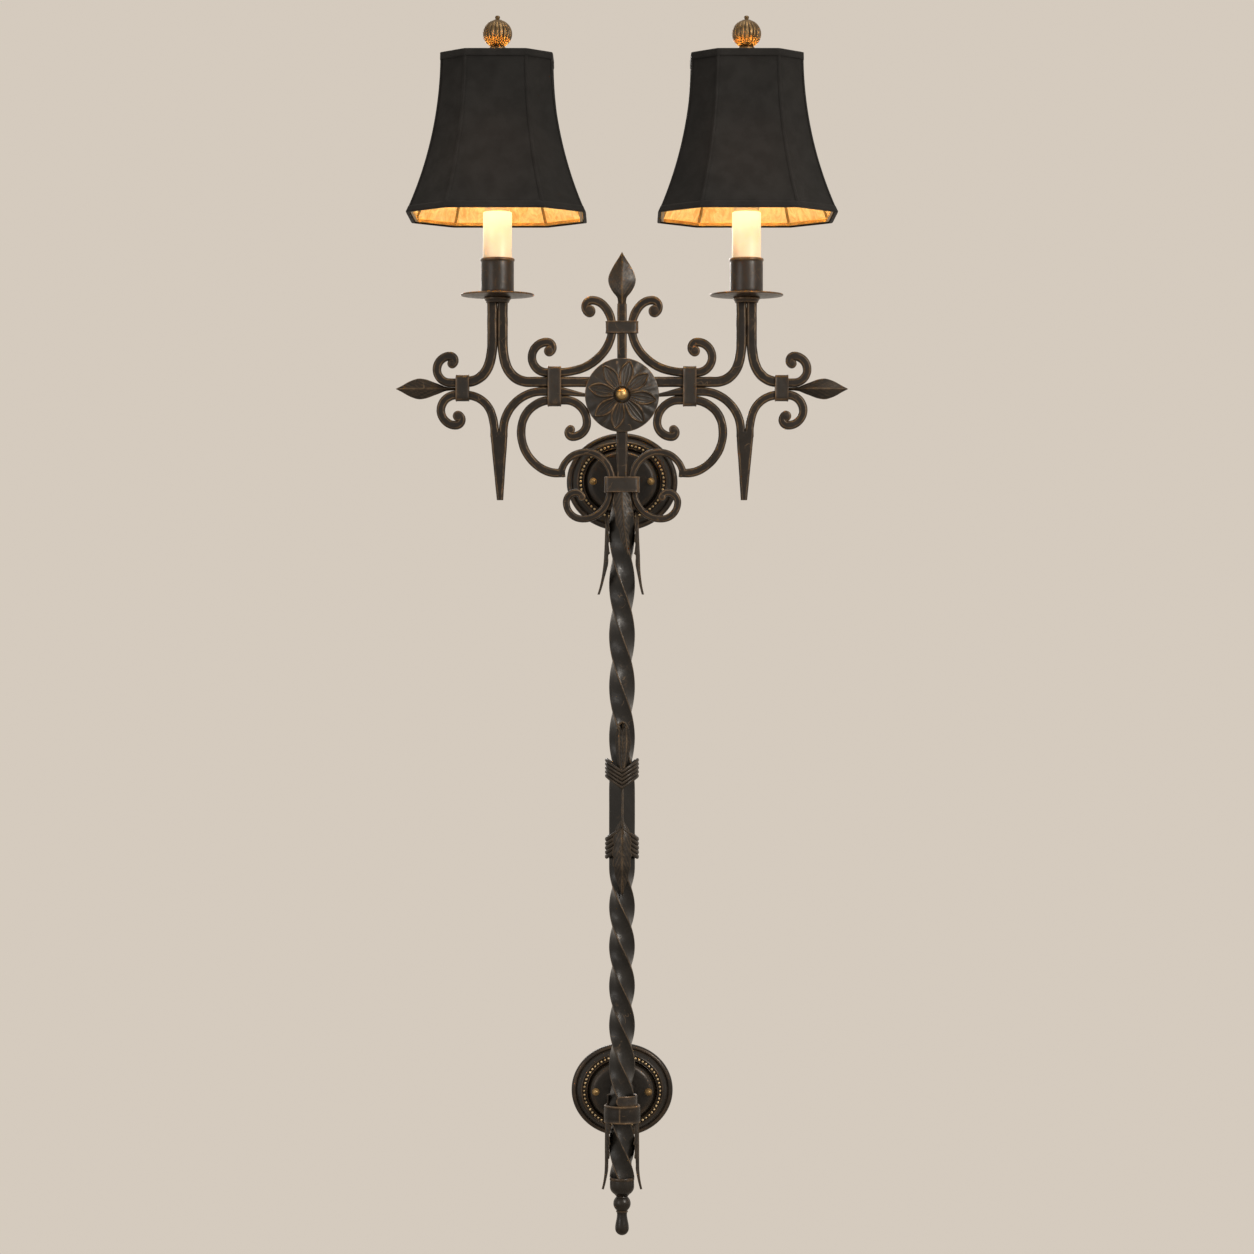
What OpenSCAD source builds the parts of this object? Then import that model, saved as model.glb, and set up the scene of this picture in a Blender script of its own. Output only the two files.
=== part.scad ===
// Wall sconce: a forged scroll frame with two shaded candle lamps, a twisted upright bar and
// two oval wall plates. Millimetres, +Z up, front towards -Y.
// The origin is the middle of the upper wall plate's back, on the wall.

/* [Layout] */
// Distance from the wall to the middle of the iron frame
frame_out = 100; // [95:0.5:120]
// Distance from the centre line to each candle
candle_spread = 124.5; // [120:0.5:140]
// Distance from the centre line to each inner band
inner_band_x = 67.6; // [67:0.1:70]
// Distance from each candle out to its outer band
outer_band_out = 35; // [34.5:0.1:38]
// Height of the arm bars above the upper wall plate
arm_z = 96; // [92:0.5:100]
// Height of the tops of the candle stems above the arm bars
stem_rise = 79; // [60:1:100]
// Distance between the centres of the two wall plates
plate_drop = 624.5; // [600:0.5:700]

/* [Scroll bars] */
// Width of the bars that carry the candles
arm_w = 10.2; // [9:0.1:11]
// Width of the scroll bars
scroll_w = 8.6; // [7.6:0.1:9.4]
// Width of the thin bars of the arches
arch_w = 7; // [6:0.1:8]
// Width of the upright centre bar
centre_w = 9.6; // [8:0.1:11]
// Width of the centre bar below the rosette
centre_low_w = 11.2; // [9.6:0.1:12]
// Depth of the scroll bars, front to back
bar_depth = 9.5; // [8:0.1:11]
// Thickness of the bands that bind the bars
band_t = 1.6; // [1.2:0.1:2.4]
// Length of the inner and outer bands along the bars
band_len = 13.6; // [10:0.2:15]
// Length of each spike under a candle
spike_len = 66.5; // [45:0.5:80]
// Length of the upright leaf at the top
top_leaf_len = 52; // [40:1:60]

/* [Twisted bar] */
// Side of the square bar
bar_side = 19.05; // [16:0.05:22]
// Length of bar below the hip band, down to the bottom finial
bar_drop = 684.4; // [660:0.2:700]
// Length of a quarter turn in the upper twist
upper_pitch = 51; // [44:0.5:60]
// Length of a quarter turn in the lower twist
lower_pitch = 39.5; // [34:0.5:46]
// Thickness of the forged leaves laid on the bar
leaf_t = 1.8; // [1.4:0.1:2.6]
// Diameter of the strands that bind the long leaf
strand_d = 3.4; // [2.6:0.1:3.8]

/* [Wall plates] */
// Width of the upper wall plate
upper_plate_w = 114; // [106:1:130]
// Height of the upper wall plate
upper_plate_h = 100.5; // [92:0.5:120]
// Width of the lower wall plate
lower_plate_w = 104; // [100:1:120]
// Height of the lower wall plate
lower_plate_h = 95; // [88:0.5:110]
// Depth of the wall plates
plate_depth = 20; // [16:0.5:26]
// Thickness of the wall plates' sheet
plate_t = 1.4; // [1:0.1:2]
// Distance between the wall screws of the upper strap
upper_screw_span = 88.9; // [82:0.1:92]
// Distance between the wall screws of the lower strap
lower_screw_span = 82; // [78:0.5:84]
// Diameter of the wall screw holes
screw_hole_d = 4.5; // [3.5:0.1:5.5]
// Diameter of the stand-off arms
arm_rod_d = 9; // [7:0.5:10]

/* [Rosette] */
// Diameter of the rosette
rosette_d = 74; // [66:1:82]
// Diameter of the ball at its middle
rosette_ball_d = 12.2; // [9:0.1:15]

/* [Candles] */
// Diameter of the drip pan
pan_d = 73.4; // [60:0.2:90]
// Outside diameter of the candle cup
cup_d = 32.9; // [32:0.1:40]
// Height of the candle cup
cup_h = 37.4; // [28:0.1:46]
// Outside diameter of the candle sleeve
sleeve_d = 28.8; // [28.4:0.1:29.4]
// Height that the sleeve shows above its cup
sleeve_show = 46; // [36:0.5:60]
// Diameter of the bulb's glass
bulb_d = 35; // [30:0.5:38]

/* [Shades] */
// Width of the shade at the top
shade_top_w = 110; // [100:0.5:124]
// Width of the shade at the bottom
shade_bottom_w = 176; // [160:0.5:190]
// Height of the shade
shade_h = 160; // [145:0.5:175]
// Half-length of a main side, as a share of half the shade's width
shade_side = 0.55; // [0.5:0.01:0.6]
// Diameter of the ribbed ball on the finial
finial_d = 29.4; // [22:0.2:36]
// Diameter of the harp's wire
harp_d = 3.6; // [3:0.1:4]

/* [Fits] */
// Gap where one piece sits on or beside another in the same body
seat_gap = 0.1; // [0.05:0.05:0.2]
// Gap between pieces that move on each other
turn_gap = 0.3; // [0.25:0.05:0.4]
// Clearance on the radius of a turning stud
stud_gap = 0.07; // [0.05:0.01:0.09]

/* [Hidden] */

$fn = 64;
iron = "#38302a";
bronze = "#7a5a34";
brass = "#b08a3c";
ivory = "#efdfb8";
black_cloth = "#26221f";
gold_leaf = "#d8a648";

// Small number by which a cutter passes a face
over = 1;

// Stacks of bars in the bands, from the arm bar outwards
tang_t = 3.5;
outer_band_x = candle_spread + outer_band_out;
spike_in = 2.8;
spike_x = candle_spread - spike_in;
upper_scroll_z = arm_z + (arm_w + scroll_w) / 2 + seat_gap;
spike_bar_z = arm_z - (arm_w + scroll_w) / 2 - seat_gap;
c_scroll_z = spike_bar_z - scroll_w - seat_gap;
outer_low_z = spike_bar_z - tang_t - seat_gap;
tang_z = arm_z - (arm_w + tang_t) / 2 - seat_gap;
curl_drop = (arm_w - scroll_w) / 2;

// Bends from an arm band up into a candle stem
band_lead = 3.4;
stem_lead_r = 24;
stem_lead_a = 71;
stem_reach = outer_band_out - band_lead - (arm_w + seat_gap) / 2;
stem_end_r = (stem_reach - stem_lead_r * sin(stem_lead_a)) / (1 - sin(stem_lead_a));
stem_bend_h = stem_lead_r * (1 - cos(stem_lead_a)) + stem_end_r * cos(stem_lead_a);
stem_straight = stem_rise - stem_bend_h;
inner_arm_run = candle_spread - inner_band_x - outer_band_out + band_lead;
stem_top_z = arm_z + stem_rise;

// Bends of the two bars that meet in a spike
spike_lead_r = 27;
spike_lead_a = 72;
spike_reach = outer_band_out + spike_in - band_lead - scroll_w / 2;
spike_end_r = (spike_reach - spike_lead_r * sin(spike_lead_a)) / (1 - sin(spike_lead_a));
spike_inner_r = 39.3;
spike_inner_run = spike_x - scroll_w / 2 - inner_band_x - spike_inner_r;
left_bend_z = outer_low_z - spike_lead_r * (1 - cos(spike_lead_a)) - spike_end_r * cos(spike_lead_a);
right_bend_z = spike_bar_z - spike_inner_r;
spike_top_z = min(left_bend_z, right_bend_z) - 0.5;
spike_tip_z = spike_top_z - spike_len;
spike_tip_w = 6.3;
spike_tip_d = 5.5;

// Upper scroll: three easing bends up to the top band, then its curl
top_gap = 0.8;
ease = [[0, 3], [80, 12], [50.5, 46]];
ease_x = (centre_w + scroll_w) / 2 + top_gap;
ease_reach = inner_band_x - ease_x;
ease_last_a = 32;
ease_end_r = (ease_reach - reach(ease)) / (1 - sin(90 - ease_last_a));
upper_end = place(concat(ease, [[ease_end_r, ease_last_a]]), 4, [0, upper_scroll_z, 0]);
top_band_h = 12.2;
top_band_z = upper_end[1] + 0.8;
centre_top_z = top_band_z + 23.4;

// Twisted bar and the hip, where the arches and the centre bar meet it
hip_band_h = 15.6;
hip_z = -6.8;
hip_top_z = hip_z + hip_band_h / 2;
hip_low_z = hip_z - hip_band_h / 2;
bar_top_z = hip_top_z - 8;
bar_low_z = hip_low_z - bar_drop;
bar_r = bar_side / sqrt(2);
// The bar's head is drawn down to the centre bar's width, and the arches nest against its taper
head_taper = 9;
waist_x = (centre_low_w + arch_w) / 2 + top_gap;
waist_z = hip_top_z - 4;
waist_len = 11;
hip_x = (bar_side + arch_w) / 2 - 0.7;
waist_a = 2 * atan((hip_x - waist_x) / waist_len);
waist_r = waist_len / (2 * sin(waist_a));
function bar_half(z) = lookup(z, [[hip_low_z - head_taper, bar_side / 2], [bar_top_z, centre_low_w / 2]]);

// Arch from the hip up and over to the big C scroll, which it meets in a mitre
arch_bends = [[30.3, 48.7], [24.7, 109.8], [49, 6.5]];
arch_end = place(arch_bends, 3, [-waist_x, waist_z, 90]);
mitre_a = -65;
mitre_over = 7;

// Big C scroll: its middle radius closes the height down to the mitre
c_lead = [30, 79];
c_mid_a = 72;
c_last = [30.5, 33];
c_h1 = 180 + c_lead[1];
c_h2 = c_h1 + c_mid_a;
c_h3 = c_h2 + c_last[1];
c_fall = c_scroll_z - arch_end[1];
c_mid_r = (c_fall - c_lead[0] * (1 + cos(c_h1)) - c_last[0] * (cos(c_h3) - cos(c_h2)))
        / (cos(c_h2) - cos(c_h1));

// Long leaf and its strands on the untwisted stretch of the bar
long_leaf_z = -244;
long_leaf_len = 172;
upper_strands_z = -291;
lower_strands_z = -351;
strand_pitch = 4.3;
strands = 5;

// Foot of the bar
lower_arm_z = 2.5 - plate_drop;
cradle_h = 11;
foot_band_top = lower_arm_z - arm_rod_d / 2 - seat_gap;
foot_band_h = 17.5;
foot_leaf_z = lower_arm_z - cradle_h / 2 - seat_gap;
foot_leaf_len = 83;

// Wall plates
rod_z = -3.5;
nut_share = 0.518;
flat_share = 0.58;
bead_share = 0.745;
flange_d = 24;
flange_t = 3;
tail_d = 7.8;
locknut_t = 5;
strap_t = 2.5;
strap_w = 14;
plate_stud_d = 4;
plate_nut_d = 6.6;

// Candle stack, from the stem's top upwards
collar_h = 5.6;
pan_t = 1.4;
pan_dish = 1.6;
pan_z = stem_top_z + collar_h + seat_gap;
cup_z = pan_z + pan_t + seat_gap;
cup_t = 1.5;
cup_rim_z = cup_z + cup_h;
sleeve_t = 1.3;
sleeve_z = cup_z + cup_t + seat_gap;
sleeve_top_z = cup_rim_z + sleeve_show;
nipple_d = 9.6;
nipple_len = 26;
holder_d = sleeve_d - 2 * sleeve_t - 1;
holder_z = cup_z + 9;
shoulder_z = sleeve_top_z + 6;
snout_d = 22;
snout_h = 11;
holder_bore = 15;
ring_d = 31;
saddle_t = 1.5;
foot_d = 6.4;
saddle_x = (bulb_d + foot_d) / 2 + 0.8;
post_d = 3;
post_h = 14;
bulb_base_d = 13.6;
bulb_base_z = shoulder_z - 8;
bulb_glass_z = shoulder_z + snout_h + 3;
bulb_len = 75;

// Shade and harp
shade_low_z = sleeve_top_z - 5;
shade_top_z = shade_low_z + shade_h;
shade_flare = (shade_bottom_w - shade_top_w) / 2;
cloth_t = 0.9;
lining_t = 0.5;
frame_inset = 1.6;
ring_w = 2.4;
ring_h = 3;
spider_z = shade_top_z - 7;
washer_d = 22;
spider_t = 2;
boss_h = 6;
boss_d = 9;
boss_top_z = spider_z - turn_gap;
harp_top_z = boss_top_z - boss_h + harp_d / 2;
harp_stud_d = 6;
foot_z = shoulder_z + saddle_t + 2.2;
finial_z = spider_z + spider_t + turn_gap;
finial_neck_h = 15.2;
ribs = 14;

// Place and heading [x, z, degrees] after one bend [radius, degrees], left being positive.
// A radius of 0 is a straight, and its second number is a length.
function after(p, b) = b[0] == 0
  ? [p[0] + b[1] * cos(p[2]), p[1] + b[1] * sin(p[2]), p[2]]
  : let (r = sign(b[1]) * b[0], q = p[2] + b[1])
    [p[0] + r * (sin(q) - sin(p[2])), p[1] - r * (cos(q) - cos(p[2])), q];
function place(bends, n, start) = n == 0 ? start : after(place(bends, n - 1, start), bends[n - 1]);
function reach(bends) = place(bends, len(bends), [0, 0, 0])[0];

// Places along a row of bends, at steps fine enough for a smooth edge, without the start
function walk(start, bends) = [for (i = [0:len(bends) - 1])
  let (p = place(bends, i, start), b = bends[i], n = b[0] == 0 ? 1 : ceil(abs(b[1]) * sqrt(b[0]) / 23))
  for (k = [1:n]) after(p, [b[0], b[1] * k / n])];
function beside(p, w, side) = [p[0] - side * w / 2 * sin(p[2]), p[1] + side * w / 2 * cos(p[2])];
function from(p, x, y) = [p[0] + x * cos(p[2]) - y * sin(p[2]), p[1] + x * sin(p[2]) + y * cos(p[2])];
function left_edge(q, w) = [for (p = q) beside(p, w, 1)];
function right_edge_back(q, w) = [for (i = [len(q) - 1:-1:0]) beside(q[i], w, -1)];
// Edge of a bar from its start, round its end and back, the end being cut square
function bar_edge(start, bends, w) = let (q = walk(start, bends))
  concat(left_edge(q, w), right_edge_back(q, w));
// The same with a snub end: half a turn of outer radius r in which the bar thins
function curl_edge(start, bends, w, r, side) =
  let (q = walk(start, bends), e = q[len(q) - 1], end_w = 0.6 * w, ri = r - (w + end_w) / 2,
       outer = [for (a = [-80:10:90]) from(e, r * cos(a), side * (r - w / 2 + r * sin(a)))],
       inner = [for (a = [-75:15:90]) from(e, ri * cos(a), side * (r - end_w / 2 + ri * sin(a)))],
       first = side > 0 ? inner : outer, second = side > 0 ? outer : inner)
  concat(left_edge(q, w), first, [for (i = [len(second) - 1:-1:0]) second[i]], right_edge_back(q, w));

// Blade with a pair of edges, a ridge in front and a flatter back, as one closed ring
// Its edges bend back by wrap times the square of its half width
function blade_ring(half, ridge, back, out, z, wrap = 0) = let (e = out - wrap * half * half,
  m = out - wrap * half * half / 4) [
  [-half, -e, z], [-half / 2, -m - 0.7 * ridge, z], [0, -out - ridge, z],
  [half / 2, -m - 0.7 * ridge, z], [half, -e, z],
  [half / 2, -m + 0.8 * back, z], [0, -out + back, z], [-half / 2, -m + 0.8 * back, z],
];
// Plate curved round the bar at radius r, thicker by a ridge along its middle
function hug_ring(half, r, t, z) = concat(
  [for (u = [-1:0.5:1]) let (x = u * half, s = r + t * (1.6 - 0.6 * abs(u)))
    [x * s / r, -sqrt(r * r - x * x) * s / r, z]],
  [for (u = [1:-0.5:-1]) let (x = u * half) [x, -sqrt(r * r - x * x), z]]);

module loft(rings, closed = false) {
  n = len(rings[0]);
  m = len(rings);
  points = [for (ring = rings) each ring];
  sides = [for (i = [0:closed ? m - 1 : m - 2], j = [0:n - 1])
    let (k = (i + 1) % m, a = i * n + j, b = i * n + (j + 1) % n, c = k * n + j, d = k * n + (j + 1) % n)
    each [[a, c, d], [a, d, b]]];
  ends = closed ? [] : [[for (j = [0:n - 1]) j], [for (j = [n - 1:-1:0]) (m - 1) * n + j]];
  polyhedron(points, concat(sides, ends), convexity = 6);
}

module both_sides() {
  children();
  mirror([1, 0, 0]) children();
}

// Draws in the plane of the frame: x across, y up, thickness front to back
module in_frame() translate([0, -frame_out, 0]) rotate([90, 0, 0]) children();

module at(p) translate([p[0], p[1], 0]) rotate(p[2]) children();

module flat_bar(edge) linear_extrude(bar_depth, center = true) polygon(edge);

// Solid eye inside a snub end
module eye(start, bends, w, r, side) {
  eye_r = 0.58 * r;
  out = r - eye_r - 0.1;
  at(place(bends, len(bends), start)) mirror([0, side < 0 ? 1 : 0, 0])
    translate([out * sin(155), r - w / 2 - out * cos(155)])
      cylinder(h = bar_depth, r = eye_r, center = true);
}

module outer_arms() color(iron) both_sides() in_frame() {
  curl_bends = [[0, 12.3], [13.3, -180]];
  curl_start = [-outer_band_x, arm_z - curl_drop, 180];
  flat_bar(concat(
    bar_edge([-outer_band_x, arm_z, 0],
      [[0, band_lead], [stem_lead_r, stem_lead_a], [stem_end_r, 90 - stem_lead_a], [0, stem_straight]], arm_w),
    curl_edge(curl_start, curl_bends, scroll_w, 8.5, -1)));
  eye(curl_start, curl_bends, scroll_w, 8.5, -1);
}

module inner_arms() color(iron) both_sides() in_frame() flat_bar(concat(
  bar_edge([-inner_band_x, arm_z, 0], [[0, inner_band_x - centre_w / 2 - seat_gap]], arm_w),
  bar_edge([-inner_band_x, arm_z, 180],
    [[0, inner_arm_run], [stem_lead_r, -stem_lead_a], [stem_end_r, stem_lead_a - 90],
     [0, stem_straight]], arm_w)));

// Two bars that join in a spike below each candle; one runs on behind the rosette
module spike_scrolls() color(iron) both_sides() in_frame() {
  curl_start = [-outer_band_x, outer_low_z, 180];
  curl_bends = [[0, 6.5], [15.1, 180]];
  q = walk([-outer_band_x, outer_low_z, 0], [[0, band_lead], [spike_lead_r, -spike_lead_a],
    [spike_end_r, spike_lead_a - 90], [0, left_bend_z - spike_top_z]]);
  p = walk([-inner_band_x, spike_bar_z, 180], [[0, spike_inner_run], [spike_inner_r, 90],
    [0, right_bend_z - spike_top_z]]);
  difference() {
    linear_extrude(bar_depth, center = true) {
      polygon(concat(left_edge(q, scroll_w),
        [[-spike_x, spike_tip_z], [-spike_x - spike_tip_w / 2, spike_tip_z]],
        right_edge_back(q, scroll_w), curl_edge(curl_start, curl_bends, scroll_w, 9.7, 1)));
      polygon(concat(tail_edge(), left_edge(p, scroll_w),
        [[-spike_x + spike_tip_w / 2, spike_tip_z], [-spike_x, spike_tip_z]],
        right_edge_back(p, scroll_w)));
    }
    for (side = [-1, 1]) translate([-spike_x, spike_tip_z, 0]) rotate([0, 90, 0])
      linear_extrude(4 * scroll_w, center = true) polygon([[side * spike_tip_d / 2, -over],
        [side * bar_depth / 2, spike_len], [side * bar_depth, spike_len], [side * bar_depth, -over]]);
  }
  eye(curl_start, curl_bends, scroll_w, 9.7, 1);
}

// Edge of the spike bar's tail, drawn out thin behind the rosette
function tail_edge() = [for (p = [[10, scroll_w / 2], [38, -3.6], [38, -5.4], [30, -5.4],
  [16, -scroll_w / 2]]) [p[0] - inner_band_x, p[1] + spike_bar_z]];

module upper_scrolls() color(iron) both_sides() in_frame() {
  top_bends = concat(ease, [[ease_end_r, ease_last_a], [0, 1], [32, 42], [16, 48]]);
  top_start = [-inner_band_x, upper_scroll_z, 0];
  side_bends = [[0, 7.3], [15.2, -180]];
  side_start = [-inner_band_x, upper_scroll_z, 180];
  flat_bar(concat(curl_edge(top_start, top_bends, scroll_w, 10.9, 1),
                  curl_edge(side_start, side_bends, scroll_w, 9.6, -1)));
  eye(top_start, top_bends, scroll_w, 10.9, 1);
  eye(side_start, side_bends, scroll_w, 9.6, -1);
}

// Half-plane beyond the mitre: side 1 is the arch's side, -1 the big scroll's
module beyond_mitre(side) at([arch_end[0], arch_end[1], mitre_a])
  translate([-2 * scroll_w, side > 0 ? -seat_gap / 2 : seat_gap / 2 - 2 * scroll_w])
    square([4 * scroll_w, 2 * scroll_w]);

module c_scrolls() color(iron) both_sides() in_frame() {
  small = [[0, 10.5], [22, -90], [14.5, -90], [7.3, -90]];
  small_start = [-inner_band_x, c_scroll_z, 0];
  big_start = [-inner_band_x, c_scroll_z, 180];
  big = [[0, 3], c_lead, [c_mid_r, c_mid_a], c_last];
  run = arch_end[0] - place(big, 4, big_start)[0] + mitre_over;
  linear_extrude(bar_depth, center = true) difference() {
    polygon(concat(bar_edge(small_start, small, scroll_w),
                   bar_edge(big_start, concat(big, [[0, run]]), scroll_w)));
    beyond_mitre(1);
  }
  eye_r = 6.3;
  at(place(small, 4, small_start)) translate([0, scroll_w / 2 - eye_r + 0.1, 0])
    cylinder(h = bar_depth, r = eye_r, center = true);
}

module arch_scrolls() color(iron) both_sides() in_frame() {
  low = [[waist_r, -waist_a], [waist_r, waist_a], [27, -90], [16.5, -90], [10, -90], [6, -75]];
  low_start = [-waist_x, waist_z, -90];
  linear_extrude(bar_depth, center = true) difference() {
    polygon(concat(bar_edge([-waist_x, waist_z, 90], concat(arch_bends, [[0, mitre_over]]), arch_w),
                   bar_edge(low_start, low, arch_w)));
    beyond_mitre(-1);
  }
  at(place(low, 6, low_start)) cylinder(h = bar_depth, d = arch_w - 0.1, center = true);
}

rosette_z = arm_z - 13.4;
rosette_stud_d = 5;

// Square bar that widens behind the rosette, with a hole for the rosette's stud
module centre_bar() color(iron) translate([0, -frame_out, 0]) rotate([90, 0, 0])
  linear_extrude(centre_w, center = true) difference() {
    taper = 7;
    polygon([[centre_low_w / 2, bar_top_z], [centre_low_w / 2, rosette_z - taper],
      [centre_w / 2, rosette_z + taper], [centre_w / 2, centre_top_z], [-centre_w / 2, centre_top_z],
      [-centre_w / 2, rosette_z + taper], [-centre_low_w / 2, rosette_z - taper],
      [-centre_low_w / 2, bar_top_z]]);
    translate([0, rosette_z]) circle(d = rosette_stud_d + 2 * seat_gap);
  }

// Spear leaf that stands on its neck at the origin, half as deep as it is wide
module spear(length, neck, widest) {
  outline = [[0, 0], [0.1, 0.15], [0.23, 0.56], [0.35, 0.87], [0.49, 1], [0.63, 0.81],
             [0.77, 0.38], [0.89, -0.02], [1, -0.41]];
  loft([for (s = outline)
    let (half = max(0.25, neck + s[1] * (widest - neck)),
         thick = max(0.3, 0.42 * neck + 0.5 * half * (1 - s[0])))
    blade_ring(half, thick, thick, 0, s[0] * length)]);
}

module top_leaf() color(iron) translate([0, -frame_out, centre_top_z])
  spear(top_leaf_len, 4.1, 13.8);

// Side leaf with its tang, drawn from inside the outer band to its tip
module side_leaves() color(iron) both_sides()
  translate([-outer_band_x + band_len / 2, -frame_out, tang_z]) {
    outline = [[0, 1.65], [19.5, 1.65], [24.5, 2.3], [27.5, 3.6], [30.5, 5], [34.5, 6.2],
               [41.5, 8.9], [47, 10.2], [50.5, 10.4], [54, 9.6], [60.5, 7.2], [67.5, 3.2], [73.3, 0.3]];
    rotate([0, -90, 0]) loft([for (s = outline)
      let (thick = max(0.3, min(3.8, 1 + 0.28 * s[1]))) blade_ring(s[1], thick, thick, 0, s[0])]);
  }

// Outline with rounded corners, about the origin
module soft_rect(w, h, r) {
  square([w - 2 * r, h], center = true);
  square([w, h - 2 * r], center = true);
  for (x = [-1, 1], y = [-1, 1]) translate([x * (w / 2 - r), y * (h / 2 - r)]) circle(r);
}

// Band of sheet about a bundle w by h
module band(w, h, length) linear_extrude(length, center = true) difference() {
  soft_rect(w + 2 * band_t, h + 2 * band_t, band_t);
  square([w, h], center = true);
}

module top_band() color(iron) translate([0, -frame_out, top_band_z])
  band(2 * ease_x + scroll_w + 1.4, max(bar_depth, centre_w) + 2 * seat_gap, top_band_h);

module inner_bands() color(iron) both_sides() {
  stack = arm_w + 3 * scroll_w + 3 * seat_gap;
  mid_z = arm_z + arm_w / 2 + seat_gap + scroll_w - stack / 2;
  translate([-inner_band_x, -frame_out, mid_z]) rotate([0, 90, 0])
    band(stack + 6 * seat_gap, bar_depth + 2 * seat_gap, band_len);
}

module outer_bands() color(iron) both_sides() {
  stack = arm_w + tang_t + scroll_w + 2 * seat_gap;
  translate([-outer_band_x, -frame_out, arm_z + arm_w / 2 - stack / 2]) rotate([0, 90, 0])
    band(stack + 6 * seat_gap, bar_depth + 2 * seat_gap, band_len);
}

module hip_band() color(iron) translate([0, -frame_out, hip_z])
  band(2 * hip_x + arch_w + 0.6, bar_side + 2 * seat_gap, hip_band_h);

// Dished rosette with eight raised petals, its back against the bars
module rosette() color(iron) {
  rise = 5;
  sheet = 2;
  rim_r = rosette_d / 2;
  dome_r = (rim_r * rim_r + rise * rise) / (2 * rise);
  front_y = -frame_out - max(bar_depth, centre_w) / 2 - seat_gap;
  translate([0, front_y, rosette_z]) rotate([90, 0, 0]) difference() {
    union() {
      intersection() {
        translate([0, 0, rise + sheet - dome_r]) sphere(dome_r, $fn = 160);
        cylinder(h = rise + sheet + over, r = rim_r, $fn = 96);
      }
      intersection() {
        translate([0, 0, rise + sheet + 0.9 - dome_r]) sphere(dome_r, $fn = 160);
        for (i = [0:7]) rotate(35 + 45 * i) linear_extrude(rise + sheet + 2 * over) petal_rim();
      }
    }
    translate([0, 0, rise - dome_r]) sphere(dome_r, $fn = 160);
    cylinder(h = 30, d = rosette_stud_d + 2 * seat_gap, center = true);
  }
}

// Raised edge of one petal, a lens of two arcs along +x
module petal_rim() {
  inner = 0.24 * rosette_d / 2;
  outer = 0.92 * rosette_d / 2;
  difference() {
    petal_lens(inner, outer, 0.19 * rosette_d / 2);
    petal_lens(inner + 2.6, outer - 2.6, 0.19 * rosette_d / 2 - 1.3);
  }
}

module petal_lens(from, to, half) {
  chord = (to - from) / 2;
  r = (chord * chord + half * half) / (2 * half);
  translate([(from + to) / 2, 0]) intersection() {
    translate([0, half - r]) circle(r, $fn = 96);
    translate([0, r - half]) circle(r, $fn = 96);
  }
}

module rosette_ball() color(brass) {
  crown = 7;
  front = frame_out + max(bar_depth, centre_w) / 2 + seat_gap + crown + seat_gap;
  back = frame_out - centre_w / 2 - 7;
  translate([0, 0, rosette_z]) rotate([90, 0, 0]) {
    translate([0, 0, back]) cylinder(h = front - back + 2, d = rosette_stud_d);
    translate([0, 0, front]) cylinder(h = 1.5, d = 0.8 * rosette_ball_d);
    translate([0, 0, front + 0.5 * rosette_ball_d]) sphere(d = rosette_ball_d);
  }
}

// Hexagon nut of size s across its flats, with a true bore
module hex_nut(s, t, bore) difference() {
  cylinder(h = t, d = s / cos(30), $fn = 6);
  translate([0, 0, -over]) cylinder(h = t + 2 * over, d = bore);
}

module rosette_nut() color(iron)
  translate([0, -frame_out + centre_w / 2 + seat_gap, rosette_z]) rotate([-90, 0, 0])
    hex_nut(9, 4, rosette_stud_d + 2 * seat_gap);

// Quarter turns of twist at a height below the hip band
function quarter_turns(z) = lookup(z, [
  [hip_low_z - 12, 0], [hip_low_z - 1.3 * upper_pitch, 1], [hip_low_z - 5.3 * upper_pitch, 5],
  [long_leaf_z - 66, 5.5], [long_leaf_z - 145, 5.5], [long_leaf_z - 165, 6],
  [long_leaf_z - 165 - 10 * lower_pitch, 16],
]);
function square_ring(z) = let (q = quarter_turns(z), r = bar_half(z) * sqrt(2)) [for (i = [0:3])
  [r * cos(45 + 90 * i + 90 * q), r * sin(45 + 90 * i + 90 * q), z]];

module twisted_bar() color(iron) translate([0, -frame_out, 0]) {
  twist_len = bar_drop - head_taper;
  steps = ceil(twist_len / 4);
  loft(concat([for (i = [steps:-1:0]) square_ring(hip_low_z - head_taper - twist_len * i / steps)],
    [square_ring(bar_top_z)]));
}

// Row of lobes along a leaf's edge: 1 at the lobes, less between them
function lobes(t, n, depth) = 1 - depth * pow(abs(sin(180 * n * t)), 2);

// Forged leaf that hangs in front of the bar: rows are [share of length, half width, out]
module hung_leaf(rows, length, n, wrap) {
  steps = 18;
  loft([for (i = [steps:-1:0])
    let (t = i / steps, half = lookup(t, [for (r = rows) [r[0], r[1]]]) * lobes(t, n, 0.22),
         out = lookup(t, [for (r = rows) [r[0], r[2]]]))
    blade_ring(max(0.4, half), 0.6 * leaf_t, 0.4 * leaf_t, out + 0.4 * leaf_t, -t * length, wrap)]);
}

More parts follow.
